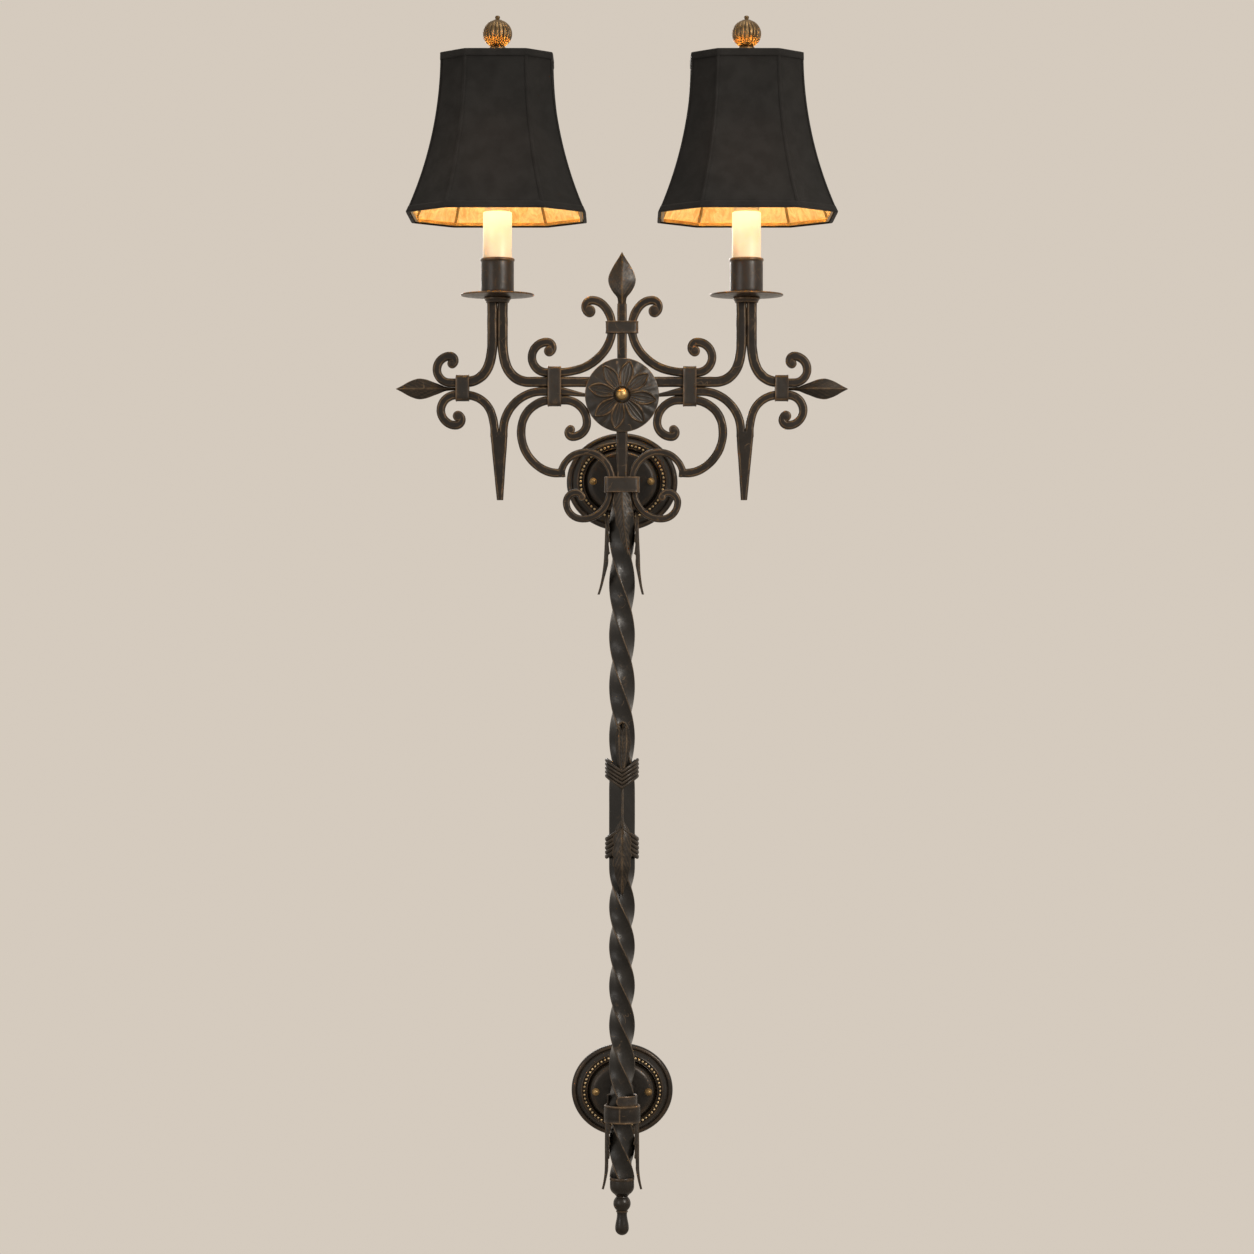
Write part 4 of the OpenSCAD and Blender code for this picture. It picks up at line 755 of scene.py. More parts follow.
def hung(rows, out, length, z, angle, tips, tail):
    """Leaf that hangs on the bar's side that faces angle (0 is the front), bent round the bar."""
    a, wrap = radians(angle), 0.055

    def put(x, y, t):
        d = smooth(t, out) - wrap * x * x - y
        px, py = x * cos(a) + d * sin(a), x * sin(a) - d * cos(a)
        return (px, -OUT + py, z - length * t)

    return blade(rows, [(0, 1.8), (0.5, 2.0), (1, 2.0 * tail)], [(0, 0.35), (0.8, 0.35), (1, 0.2)], 0.75, 7, 60,
                 put, bumps(tips, 0.3), 1.7)


def hip_leaves():
    """Front leaf folded on a rib that leans to the right, its left half falling back, and a leaf on each side."""
    z, length = HIP_LOW - 0.1, 62.5
    right = [(0, 6.4), (0.15, 7.6), (0.33, 10.7), (0.36, 10.2), (0.4, 7.2), (0.58, 4.7), (0.62, 4.3), (0.66, 2.8),
             (0.8, 3.2), (0.9, 1.7), (1, 0.15)]
    left = [(0, 6.4), (0.12, 6.9), (0.21, 9.2), (0.24, 8.9), (0.28, 7.1), (0.49, 8.1), (0.53, 7.8), (0.57, 5.9),
            (0.75, 5.2), (0.9, 2.6), (1, 0.15)]
    axis = [(0, 0.0), (0.25, 0.6), (0.5, 2.0), (0.75, 4.0), (1, 6.0)]
    out = [(0, 10.4), (0.16, 12.8), (0.34, 15.0), (0.65, 15.6), (0.85, 15.2), (1, 14.4)]

    def put(x, y, t):
        dx = smooth(t, axis) + x
        fall = 0.05 * x * x * (1 - 0.5 * t) if x < 0 else 0.018 * x * x + 0.02 * x * x * max(0.0, sin(40 * t)) * 0.4
        return (dx, -OUT - smooth(t, out) + fall + y, z - length * t)

    front = blade([(0, 1.0), (1, 1.0)], [(0, 1.8), (0.5, 1.9), (1, 0.8)], [(0, 0.4), (1, 0.25)], 0.9, 9, 80, put,
                  lambda t, s: lookup(t, left if s < 0 else right), 1.5)
    rows = [(0, 3.6), (0.1, 4.5), (0.3, 6.8), (0.55, 7.4), (0.68, 5.6), (0.8, 3.8), (0.9, 2.8), (1, 1.7)]
    out = [(t, BAR_R + d) for t, d in ((0, 0.4), (0.3, 1.0), (0.55, 1.9), (0.72, 3.5), (0.86, 5.7), (0.94, 7.4),
                                       (1, 9.0))]
    sides = [hung(rows, [(t, d - less * max(0.0, t - 0.55)) for t, d in out], 82, HIP_LOW - 20, a,
                  [0.22, 0.36, 0.5, 0.64], 0.7) for a, less in ((90, 5.5), (-90, 0.0))]
    leaf_piece("hip_leaves_forged", "hip_leaves", join(front, *sides))


def foot_leaves():
    rows = [(0, 5.5), (0.2, 5.8), (0.34, 7.4), (0.55, 7.3), (0.7, 5.4), (0.85, 3.6), (1, 1.9)]
    out = [(t, BAR_R + d) for t, d in ((0, 0.35), (0.3, 0.9), (0.6, 1.1), (0.78, 1.6), (0.9, 2.9), (1, 4.8))]
    leaf_piece("foot_leaves_forged", "foot_leaves",
               join(*[hung(rows, out, 83.6, -627.6, a, [0.3, 0.46, 0.62, 0.76], 0.65) for a in (90, -90)]))


def bud():
    """Two ruffled petals that hang beside the bar's front edge, and the round hood over them."""
    top, length, ruffle = -246.0, 46, bumps([0.28, 0.44, 0.6, 0.76], 0.1)
    parts = []
    for s, inner, outer in ((-1, [(0, -3.2), (0.17, 0.3), (1, 0.5)],
                             [(0, -4.6), (0.12, -5.6), (0.35, -6.6), (0.6, -6.2), (0.85, -4.6), (1, -3.2)]),
                            (1, [(0, 4.2), (0.17, 1.0), (1, 0.7)],
                             [(0, 5.6), (0.12, 7.0), (0.3, 8.7), (0.42, 9.1), (0.7, 6.8), (0.85, 5.0), (1, 3.8)])):
        half = [(t / 20, abs(smooth(t / 20, outer) - smooth(t / 20, inner)) / 2) for t in range(21)]

        def put(x, y, t):
            px = (smooth(t, inner) + smooth(t, outer)) / 2 + x
            d = 14.9 - 0.05 * px * px + 1.9 * exp(-abs(px - 0.6) / 1.3) + 1.6 * max(0.0, 1 - t / 0.25)
            return (px, -OUT - d + y, top - length * t)

        parts.append(blade(half, [(0, 0.6), (0.4, 0.9), (1, 0.7)], [(0, 0.5), (1, 0.5)], 0.3, 7, 44, put,
                           lambda t, e: ruffle(t, 1) if e == s else 1.0, 1.6))
    line = [(-4.4, -250.5), (-3.7, -247.6), (-2.0, -245.0), (0.6, -243.6), (3.2, -244.6), (5.0, -247.6),
            (5.8, -250.5)]
    rings = []
    for i, (x, z) in enumerate(line):
        (x0, z0), (x1, z1) = line[max(0, i - 1)], line[min(len(line) - 1, i + 1)]
        n = sqrt((x1 - x0) ** 2 + (z1 - z0) ** 2)
        nx, nz = -(z1 - z0) / n, (x1 - x0) / n
        rings.append([(x + 1.15 * nx * cos(b), -OUT - 15.2 + 0.05 * x * x - 2.2 * sin(b), z + 1.15 * nz * cos(b))
                      for b in round_about(12)])
    return parts + [loft(rings, [0.5] * len(line))]


def long_leaf():
    """Bud above, stem along the front ridge, and a veined leaf that lies over its wraps."""
    top, length, leaf_z, leaf_length = -244.0, 172, -338.0, 78
    out = [(0, 13.6), (0.1, 14.5), (0.24, 15.4), (0.5, 14.4), (0.62, 17.0), (0.75, 17.2), (0.9, 14.8), (1, 14.0)]
    stem = blade([(0.0, 0.7), (0.06, 0.8), (0.3, 0.85), (0.6, 0.85), (0.97, 0.7), (1, 0.3)],
                 [(0, 1.5), (0.3, 2.0), (0.97, 1.6), (1, 0.8)], [(0, 0.5), (1, 0.5)], 0.35, 4, 80,
                 lambda x, y, t: (x + 0.9, -OUT - (smooth(t, out) - y), top - length * t))
    rows = [(0, 0.4), (0.06, 2.5), (0.16, 7.2), (0.3, 9.4), (0.48, 10.0), (0.66, 8.8), (0.82, 5.4), (0.93, 2.2),
            (1, 0.3)]
    over = [(0, 14.2), (0.14, 15.4), (0.28, 17.2), (0.62, 17.3), (0.8, 15.0), (1, 14.0)]
    lower = blade(rows, [(0, 0.5), (0.3, 1.2), (0.8, 1.2), (1, 0.4)], [(0, 0.4), (1, 0.3)], 0.5, 10, 70,
                  lambda x, y, t: (x, -OUT - smooth(t, over) + 0.042 * x * x * (1 - 0.3 * t) + y,
                                   leaf_z - leaf_length * t), bumps([0.34, 0.5, 0.64, 0.78], 0.14), 1.5)
    beads = [sphere(1.2, -OUT - 17.6, -350.0, 1.1, 10), sphere(1.2, -OUT - 15.6, -416.0, 1.3, 10)]
    leaf_piece("long_leaf_forged", "long_leaf", join(stem, lower, *bud(), *beads))


def strands():
    """Two groups of five strands round the bar: a V in front in the upper one, a roof in the lower one."""
    parts = []
    # height of the first strand, how much its sides lie higher, step from strand to strand
    for row, lift, lead in ((-293.0, 11.0, 3.9), (-349.0, -12.0, 4.4)):
        for k in range(5):
            def at(a, b):
                near = max(0.0, cos(a))
                wob = 0.25 * noise.noise(Vector((sin(a) * 2, cos(a) * 2, k * 3.1 + row)))
                r = BAR_R + 1.9 + (1.5 * near ** 3 if lift > 0 else -0.2 * near) + 1.72 * cos(b) + wob
                z = row - k * lead + lift * abs(sin(a)) + 0.535 * lead * sin(b) + wob
                return (r * sin(a), -OUT - r * cos(a), z, 0.5 * max(0.0, cos(b)) ** 4)

            parts.append(skin(round_about(72), [-b for b in round_about(12)], at, closed=True))
    piece("wraps_forged", "leaf_strands", join(*parts), iron_wrap, 60)


spears()
hip_leaves()
foot_leaves()
long_leaf()
strands()


# ---------------------------------------------------------------- twisted bar
# Quarter turns of the section by height: untwisted block at the hip, straight stretch behind the long leaf
PITCH = 51
TURNS = [(-804.3, 16), (-409, 6), (-389, 5.5), (-310, 5.5), (HIP_LOW - 5.3 * PITCH, 5), (HIP_LOW - 1.3 * PITCH, 1),
         (HIP_LOW - 12, 0), (0, 0)]


def twisted():
    half, c, row = BAR_SIDE / 2, 0.95, 1.9
    side = [((half - 1.4 * c) * (i / 4 - 1), half, 0.0) for i in range(9)]
    side += [(half - 0.9 * c, half - 0.1 * c, 0.35), (half - 0.4 * c, half - 0.4 * c, 1.0),
             (half - 0.1 * c, half - 0.9 * c, 0.35)]
    section = []
    for q in range(4):
        a = -pi / 2 * q
        section += [(x * cos(a) - y * sin(a), x * sin(a) + y * cos(a), w) for x, y, w in side]

    def at(z, corner):
        x, y, w = corner
        a = pi / 2 * (sum(lookup(z + d, TURNS) for d in (-6, -3, 0, 3, 6)) / 5)
        k = (lookup(z, [(HIP_LOW - 9, half), (BAR_TOP_Z, CENTRE_LOW / 2)]) / half
             + 0.008 * noise.noise(Vector((x * 0.2, y * 0.2, z * 0.05))))
        return ((x * cos(a) - y * sin(a)) * k, -OUT + (x * sin(a) + y * cos(a)) * k, z, w)

    heights = [BAR_LOW_Z + row * i for i in range(int((BAR_TOP_Z - 1 - BAR_LOW_Z) / row) + 1)] + [BAR_TOP_Z]
    piece("twisted_bar_forged", "twisted_bar", skin(heights, section, at), iron_twist, 50)


twisted()


# ---------------------------------------------------------------- foot
def lower_arm():
    """Stand-off arm whose strap lies round the bar and ends rounded in front of it."""
    tall, inner, t, n = 11.0, BAR_R + 0.2, 1.4, 110
    reach = OUT - inner - 0.5
    prof = [(0.05, 8.0), (3.9, 8.0), (3.9, 20.1), (11.4, 20.1), (12.0, 20.6), (12.0, 22.4), (11.3, 23.1),
            (6.2, 23.3), (5.0, 24.0), (4.5, 25.6), (4.5, reach), (0.05, reach)]
    rod = turned(lathe(prof, 48), lambda x, y, h: (x, -h, LOWER_ARM_Z + y))
    # across the strap: thickness, share of half its height, wear
    section = ((0.0, -0.9, 0.1), (0.9 * t, -0.97, 0.4), (1.12 * t, -0.88, 1.0), (1.06 * t, -0.7, 0.1),
               (1.1 * t, 0.0, 0.0), (1.06 * t, 0.7, 0.1), (1.12 * t, 0.88, 1.0), (0.9 * t, 0.97, 0.4),
               (0.0, 0.9, 0.1))
    first, last = 180.0, -90 - math.degrees(math.asin(0.4))

    def at(i, edge):
        e, s, v = edge
        a = radians(first + (last - first) * i / n)
        left = radians(first - last) * (1 - i / n) * inner
        half = tall / 2 - 0.06
        if left < half:
            half = sqrt(max(0.02, half * half - (half - left) ** 2))
        return ((inner + e) * cos(a), -OUT + (inner + e) * sin(a), LOWER_ARM_Z + half * s,
                max(v, 0.8 if i > n - 3 else 0.0))

    piece("lower_arm_forged", "lower_arm", join(rod, skin(range(n + 1), section, at)), iron_band, 50)


def foot_band():
    """Collar of rolled sheet with a lap in front."""
    inner, top, h = BAR_R + 2.2, -626.6, 17.5
    prof = [(0.0, 0.1, 0.3), (0.0, 1.7, 1.0), (0.5, 2.3, 1.0), (1.3, 2.4, 0.9), (1.9, 2.1, 0.1)]
    prof += [(1.9 + (h - 3.8) * i / 6, 2.1 + 0.35 * sin(pi * i / 6), 0.0) for i in range(1, 6)]
    prof += [(h - s, e, v) for s, e, v in prof[4::-1]]

    def at(row, a):
        s, e, v = row
        lap = 0.55 if 0.02 < (a + pi / 2 + 0.12) % TAU < 1.5 else 0.0
        r = inner + e + (lap if e > 0.5 else 0) + 0.15 * noise.noise(Vector((cos(a) * 2, sin(a) * 2, s * 0.2)))
        return (r * cos(a), -OUT + r * sin(a), top - s,
                max(v, 0.8 if 0.0 < (a + pi / 2 + 0.14) % TAU < 0.07 and e > 0.5 else 0))

    piece("foot_band_sheet", "foot_band", skin(prof, round_about(96), at, closed=True), iron_bar)


def bottom_finial():
    """Turned drop: bell, ball and tip."""
    prof = [(0.05, 0), (11.4, 0), (12.1, -0.3), (12.4, -1.2), (12.4, -2.6), (12.0, -3.2), (12.1, -4.2), (12.2, -8)]
    prof += [(12.2 - drop(9, a), -9 - 9 * sind(a)) for a in range(6, 61, 6)]
    prof += [(6.9, -17.9), (6.2, -18.4), (5.7, -19.2), (5.9, -19.7)]
    prof += [(8.7 * cosd(a), -26.2 + 8.7 * sind(a)) for a in range(46, -51, -6)]
    prof += [(5.5, -33.3), (6.0, -33.8), (6.0, -34.6), (5.2, -35.2), (5.0, -37)]
    prof += [(5.0 + 1.9 * sind(a) ** 2, -36.5 - 14.5 * a / 90) for a in range(8, 89, 8)]
    prof += [(6.9 * cosd(a), -51 - 7.1 * sind(a)) for a in range(8, 89, 8)] + [(0.05, -58.2)]
    wear = [0.8 if i in (2, 3, 4) or -35 < s < -33.2 else 0.05 for i, (_, s) in enumerate(prof)]
    part = lathe(prof, 72, wear, at=(0, -OUT, BAR_LOW_Z - 0.1))
    piece("bottom_finial_turned", "bottom_finial", part, iron_turned, 35)


lower_arm()
foot_band()
bottom_finial()


# ---------------------------------------------------------------- rosette
ROSE_R = 37.0
# direction and reach of each petal
PETALS = [(38.8, 33.5), (77.4, 34.8), (121.5, 34.0), (167.2, 34.2), (217.9, 34.0), (258.7, 34.4), (308.3, 35.0),
          (352.0, 34.6)]


def rosette_face(r, a):
    """Height and wear of the rosette's face at a radius and a direction."""
    ball_r, root, rise = 6.2, 6.8, 5
    dome = (ROSE_R * ROSE_R + rise * rise) / (2 * rise)
    h = sqrt(dome * dome - r * r) - dome + rise + 2
    h -= 1.5 * exp(-((r - ball_r) / 2.0) ** 4)
    wear, inside = 0.0, False
    for i, (angle, tip) in enumerate(PETALS):
        off = (a - radians(angle) + pi) % TAU - pi
        along, across = r * cos(off), r * sin(off)
        t = (along - root) / (tip - root)
        if abs(off) > 0.75 or not 0 < t < 1:
            continue
        half = 2.0 * (1 - t) + 5.2 * sin(pi * t ** 1.2) ** 0.9
        grow = min(1, 5 * t)
        rim = exp(-((abs(across) - half) / 0.75) ** 2) * grow
        vein = sum(exp(-((across - half * k) / 0.46) ** 2) for k in (-0.36, 0.3)) * grow * (1 - t) ** 0.6
        dish = max(0.0, 1 - (across / max(0.3, half)) ** 2) * sin(pi * t)
        h += 1.6 * rim + 0.8 * vein - 1.0 * dish
        lit = 0.55 + 0.45 * noise.noise(Vector((i * 3.7, t * 4, across)))
        wear = max(wear, rim * (0.75 + lit), 0.85 * vein * lit)
        inside = inside or abs(across) < half
    if not inside:
        swell = max(0.0, min(1.0, (r - 11) / 9)) * (1 - 0.5 * (r / ROSE_R) ** 4)
        h += 0.32 * swell * cos(22 * a + 1.4 * sin(3 * a))
    return h + 0.15 * noise.noise(Vector((r * cos(a) * 0.2, r * sin(a) * 0.2, 0))), min(1.0, wear)


def rosette():
    """Domed disc with eight petals that stand up as rims and veins, no two quite alike."""
    hole, back_y, steps = 2.6, -OUT - CENTRE_W / 2 - SEAT, 92

    def at(row, a):
        r, h, w = row
        if h is None:
            h, lit = rosette_face(r, a)
            w = max(w, lit)
        return (r * cos(a), back_y - h, ROSE_Z + r * sin(a), w)

    rows = [(hole + (ROSE_R - 0.5 - hole) * i / steps, None, 0.6 if i == steps else 0.0) for i in range(steps + 1)]
    rows += [(ROSE_R, 1.7, 0.8), (ROSE_R, 0.3, 0.3), (ROSE_R - 0.4, 0.0, 0.2), (ROSE_R - 6, 1.0, 0), (20, 3.2, 0),
             (hole, 4.6, 0)]
    part = skin(rows, round_about(600), at, closed=True)
    piece("rosette_forged", "rosette", part, iron_rose, 60)


rosette()


# ---------------------------------------------------------------- wall plates
BEAD_LINE = 0.745


def plates():
    # share of the half width, distance from the wall
    front = [(1.0, 0.05), (1.0, 2.0), (0.992, 3.2), (0.975, 4.3), (0.955, 4.9), (0.93, 5.1), (0.912, 4.9),
             (0.902, 4.6), (0.896, 5.3), (0.885, 6.3), (0.868, 7.7), (0.85, 9.2), (0.83, 10.5), (0.81, 11.5),
             (0.795, 11.9), (0.782, 11.7), (0.775, 10.9), (BEAD_LINE, 10.7), (0.712, 10.9), (0.705, 11.9),
             (0.694, 12.2), (0.683, 11.8), (0.678, 10.2), (0.655, 9.9), (0.648, 11.0), (0.64, 13.2), (0.63, 15.2),
             (0.612, 17.1), (0.59, 18.5), (0.56, 19.4), (0.52, 19.85), (0.46, 20.0), (0.36, 20.0)]
    rubbed = {3: 0.5, 4: 0.8, 5: 0.6, 8: 0.7, 13: 0.5, 14: 0.9, 15: 0.8, 19: 0.7, 20: 1.0, 21: 0.6, 24: 0.3,
              28: 0.5, 29: 0.4}
    back = [(s - 0.028, max(0.05, out - 1.4)) for s, out in front[::-1]]
    wear = [rubbed.get(i, 0.0) for i in range(len(front))] + [0.0] * (3 + len(back))
    for name, w, h, z, hole, _ in PLATES:
        k = h / w
        turns = [(s, out, 0) for s, out in front] + [(0.2, 20.0, 0.5), (0.09, 20.0, 0.9), (0.09, 18.6, 0.9)]
        turns += [(s, out, 0) for s, out in back]
        rings = [front_ring(0, -out, z + hole * share, s * w / 2, k * s * w / 2, 160) for s, out, share in turns]
        piece(name + "_spun", name, loft(rings, wear, closed=True), iron_plate, 45)


def beads():
    """Beads at equal steps along the oval groove of each plate."""
    parts = []
    for _, w, h, z, _, count in PLATES:
        line = front_ring(0, -12.1, z, BEAD_LINE * w / 2, BEAD_LINE * h / 2, 3600)
        line.append(line[0])
        lengths = [math.dist(p, q) for p, q in zip(line, line[1:])]
        step, gone, k = sum(lengths) / count, 0.0, 0
        for p, length in zip(line, lengths):
            if gone >= k * step - 1e-9 and k < count:
                parts.append(sphere(*p, 1.38, 14))
                k += 1
            gone += length
    piece("beads", "bead_rings", join(*parts), bead_gold, 80)


plates()
beads()


# ---------------------------------------------------------------- candles
LAMPS = (("left", -1), ("right", 1))


def under_candles():
    """Collar on each stem and the drip pan on it."""
    prof = [(3.6, 175.1), (11.2, 175.1), (11.6, 175.4), (11.9, 176.6), (12.6, 178.0), (12.9, 178.3), (13.3, 178.5),
            (13.45, 179.3), (13.3, 180.2), (12.9, 180.6), (3.6, 180.6)]
    wear = [0.0, 0.3, 0.8, 0.2, 0.2, 0.8, 0.8, 0.8, 0.8, 0.3, 0.0]
    collars = [lathe(prof, wear=wear, at=(s * CANDLE, -OUT, 0)) for _, s in LAMPS]
    piece("stem_collars_turned", "stem_collars", join(*collars), iron_cup)
    prof = [(4.9, 180.7), (17.0, 180.7), (24, 181.1), (32, 181.8), (35.2, 182.2), (36.2, 182.1), (36.75, 182.6),
            (36.8, 183.2), (36.4, 183.8), (35.7, 183.9), (35.0, 183.5), (32, 183.1), (24, 182.4), (17.4, 182.1),
            (4.9, 182.1)]
    wear = [0.1] * 3 + [0.3, 0.7] + [1.0] * 5 + [0.5] + [0.15] * 4
    pans = [lathe(prof, wear=wear, closed=True, at=(s * CANDLE, -OUT, 0)) for _, s in LAMPS]
    piece("drip_pans_spun", "drip_pans", join(*pans), iron_cup)


def cup(side, s):
    h = 37.4
    prof = [(4.9, 0), (14.9, 0), (15.7, 0.3), (15.9, 1.2), (15.6, 1.9), (16.1, 2.4), (16.45, 3.2)]
    prof += [(16.45, 3.2 + (h - 7.4) * i / 8) for i in range(1, 9)]
    prof += [(16.3, h - 3.7), (16.5, h - 3.2), (17.0, h - 2.8), (17.25, h - 2.0), (17.2, h - 0.9), (16.9, h - 0.3),
             (16.3, h), (15.2, h), (14.75, h - 0.5), (14.6, h - 4), (14.6, 1.6), (4.9, 1.6)]
    wear = [0.85 if i in (2, 3, 17, 18, 19, 20, 21) else 0.35 if i in (1, 4, 5, 16, 22) else 0.0
            for i in range(len(prof))]
    part = lathe(prof, wear=wear, closed=True, at=(s * CANDLE, -OUT, 182.2))
    piece(side + "_cup_spun", side + "_candle_cup", part, iron_cup)


def sleeve(side, s):
    """Wax tube, a little uneven, with a soft upper edge."""
    x, low, top, rows = s * CANDLE, 183.8, 265.6, 41

    def at(row, a):
        z, r, uneven = row
        r += uneven * noise.noise(Vector((cos(a) * 1.5, sin(a) * 1.5, z * 0.06 + s)))
        return (x + r * cos(a), -OUT + r * sin(a), z, 0.0)

    outside = [(low + (top - 0.9 - low) * (i / rows), 0.0) for i in range(rows + 1)]
    outside += [(top - 0.35, 0.22), (top, 0.7)]
    tube = [(z, 14.4 - less, 0.09) for z, less in outside]
    tube += [(top - 0.1, 13.3, 0), (top - 1.0, 13.1, 0), (low, 13.1, 0)]
    part = skin(tube, round_about(96), at, closed=True)
    piece(side + "_sleeve_wax", side + "_candle_sleeve", part, sleeve_ivory, 60)


under_candles()
for lamp in LAMPS:
    cup(*lamp)
    sleeve(*lamp)


# ---------------------------------------------------------------- shades
SHADE_LOW, SHADE_H, TOP_HALF, LOW_HALF, SIDE = 260.6, 160.0, 55.0, 88.0, 0.55
ARC = (SHADE_H ** 2 + (LOW_HALF - TOP_HALF) ** 2) / (2 * (LOW_HALF - TOP_HALF))
EASED = 1.3


def corners(h, inset=0.0):
    """Corners of the octagon at a height, on the flare's arc."""
    half = TOP_HALF + ARC - sqrt(ARC * ARC - (SHADE_H - h) ** 2)
    a, b = half - inset, SIDE * half - 0.414 * inset
    return [(a, -b), (a, b), (b, a), (-b, a), (-a, b), (-a, -b), (-b, -a), (b, -a)]


def outline(h, inset, n=10, bow=0.0):
    """Octagon at a height, its sides bowed in a little between the wires and its corners eased."""
    c = corners(h, inset)
    out = []
    for i in range(8):
        p, q = Vector(c[i]), Vector(c[(i + 1) % 8])
        d = q - p
        nrm = Vector((d.y, -d.x)).normalized()
        if nrm.dot(p + q) < 0:
            nrm = -nrm
        v = p - p.normalized() * 0.42 * EASED * 0.6
        out.append((v.x, v.y))
        for t in [k / n for k in range(1, n)]:
            pull = 0.42 * EASED * max(0.0, 1 - min(t, 1 - t) * d.length / EASED) ** 2
            v = p + d * t - nrm * (bow * 4 * t * (1 - t)) - (p + q).normalized() * pull
            out.append((v.x, v.y))
    return out


def corner_section(c, k, kind):
    """Section over (welt) or under (seam) the shade's corner k."""
    p0, pm, pn = Vector(c[k]), Vector(c[k - 1]), Vector(c[(k + 1) % 8])
    dm, dn = (pm - p0).normalized(), (pn - p0).normalized()
    out = p0.normalized()
    if kind == "welt":
        w, t, base = 1.9, 0.55, p0 + out * 0.05
        return [base + dm * w, base + dm * w + out * t * 0.6, base + dm * w * 0.55 + out * t * 0.98,
                base + out * t * 0.9, base + dn * w * 0.55 + out * t * 0.98, base + dn * w + out * t * 0.6,
                base + dn * w, base - out * 0.25]
    w, t, base = 1.1, 0.35, p0 + out * -1.5
    return [base + dm * w, base + dm * w - out * t, base - out * t * 1.6, base + dn * w - out * t, base + dn * w,
            base + out * 0.1]


def shade(side, s):
    x, body = s * CANDLE, side + "_shade"

    def at(pts, z):
        return [(x + a, -OUT + b, z) for a, b in pts]

    def wall(inset, rows):
        return [at(outline(SHADE_H * i / rows, inset, 12, 0.9 * sin(pi * i / rows)), SHADE_LOW + SHADE_H * i / rows)
                for i in range(rows + 1)]

    def along_corners(kind, first, span, rows):
        parts = []
        for k in range(8):
            heights = [first + span * i / rows for i in range(rows + 1)]
            parts.append(loft([at([(q.x, q.y) for q in corner_section(corners(h), k, kind)], SHADE_LOW + h)
                               for h in heights]))
        return parts

    rows = 56
    skin = [[(px + 0.16 * noise.noise(Vector((px * 0.04, py * 0.04, pz * 0.05 + s))),
              py + 0.16 * noise.noise(Vector((px * 0.04 + 7, py * 0.04, pz * 0.05 + s))), pz)
             for px, py, pz in ring] for ring in wall(0.0, rows)]
    part = loft(skin + wall(0.85, 28)[::-1], closed=True)
    cover = piece(side + "_shade_cloth", side + "_shade_cover", part, cloth, 25, body)
    part = loft(wall(1.05, 40) + wall(1.45, 40)[::-1], closed=True)
    piece(side + "_shade_gold", side + "_shade_lining", part, gold, 25, body)
    trims = []
    for low, high, tail in ((-0.3, 6.4, [(6.4, 0.4)]),
                            (SHADE_H - 7.2, SHADE_H + 0.4, [(SHADE_H + 0.4, 1.5), (SHADE_H - 3.4, 1.5)])):
        prof = [(low, 2.3 if low < 0 else 1.5), (low, 0.0), (low + 0.2, -0.85), (low + 0.8, -1.1),
                (low + 2.4, -1.1), (high - 2.4, -1.05), (high - 0.9, -1.1), (high - 0.3, -0.8), (high, -0.1), *tail]
        trims.append(loft([at(outline(min(SHADE_H, max(0, h)), e), SHADE_LOW + h) for h, e in prof], closed=True))
    welts = along_corners("welt", 5.6, SHADE_H - 12.2, 40)
    part = join(*trims, *welts)
    trim = piece(side + "_shade_edging", side + "_shade_trim", part, cloth, 30, body)
    part = join(*along_corners("seam", 1.0, SHADE_H - 2, 30))
    piece(side + "_shade_seams", None, part, seam_brown, 30, body)
    flat = 0.0
    for a, b in zip(skin, skin[1:]):
        for j in range(len(a)):
            l = (j + 1) % len(a)
            flat += ((Vector(a[l]) - Vector(a[j])).cross(Vector(b[j]) - Vector(a[j])).length
                     + (Vector(b[l]) - Vector(a[l])).cross(Vector(b[l]) - Vector(b[j])).length) / 2
    flat *= MM * MM
    across = sum(math.dist(a, b) for a, b in zip(skin[0], skin[0][1:] + skin[0][:1])) * MM


# ---------------------------------------------------------------- finials
def finial(side, s):
    """Cast nut: foot, neck, ribbed ball and tip."""
    x, z, ribs = s * CANDLE, 415.9, 20
    n = ribs * 12
    ball_r, low, high, middle, climb = 14.7, -62, 66, 15.2, 12.94
    rings, dark = [], []

    def rings_of(profile, groove):
        for r, h in profile:
            rings.append(level_ring(x, -OUT, z + h, r, n))
            dark.extend([groove(h)] * n)

    rings_of([(3.1, 0.0), (8.4, 0.0), (9.0, 0.5), (9.0, 1.8), (8.0, 2.6), (5.9, 3.6), (5.2, 5.5), (5.1, 9.6),
              (5.8, 10.8), (7.6, 11.7), (8.2, 12.6), (8.3, 14.0), (7.6, 14.9)],
             lambda h: 0.35 if 5 < h < 11 else 0.1)
    for b in [low + (high - low) * i / 30 for i in range(31)]:
        ring = []
        fade = max(0.0, cos(radians(b) * 90 / 70))
        for a in round_about(n):
            u = abs(cos(ribs * a / 2))
            groove = max(0.0, 1 - u * 1.7) ** 0.8
            r = ball_r * cosd(b) * (1 - 0.055 * groove * fade - 0.012 * (1 - u))
            ring.append((x + r * cos(a), -OUT + r * sin(a),
                         z + middle + climb * (sind(b) / sind(high) + 1)))
            shown = groove * 1.3 * fade + 0.12 * noise.noise(Vector((a * 9, b * 0.1, s)))
            dark.append(max(0.0, min(1.0, shown)))
        rings.append(ring)
    rings_of([(5.2, 41.3), (4.4, 41.9), (3.2, 42.2), (2.0, 42.6), (1.8, 43.0), (2.4, 43.7), (2.6, 44.6),
              (2.3, 45.6), (1.4, 46.3), (0.05, 46.5)], lambda h: 0.15)
    piece(side + "_finial_cast", side + "_finial", loft(rings, dark), cast_bronze, 70,
          side + "_finial")


for lamp in LAMPS:
    shade(*lamp)
for lamp in LAMPS:
    finial(*lamp)


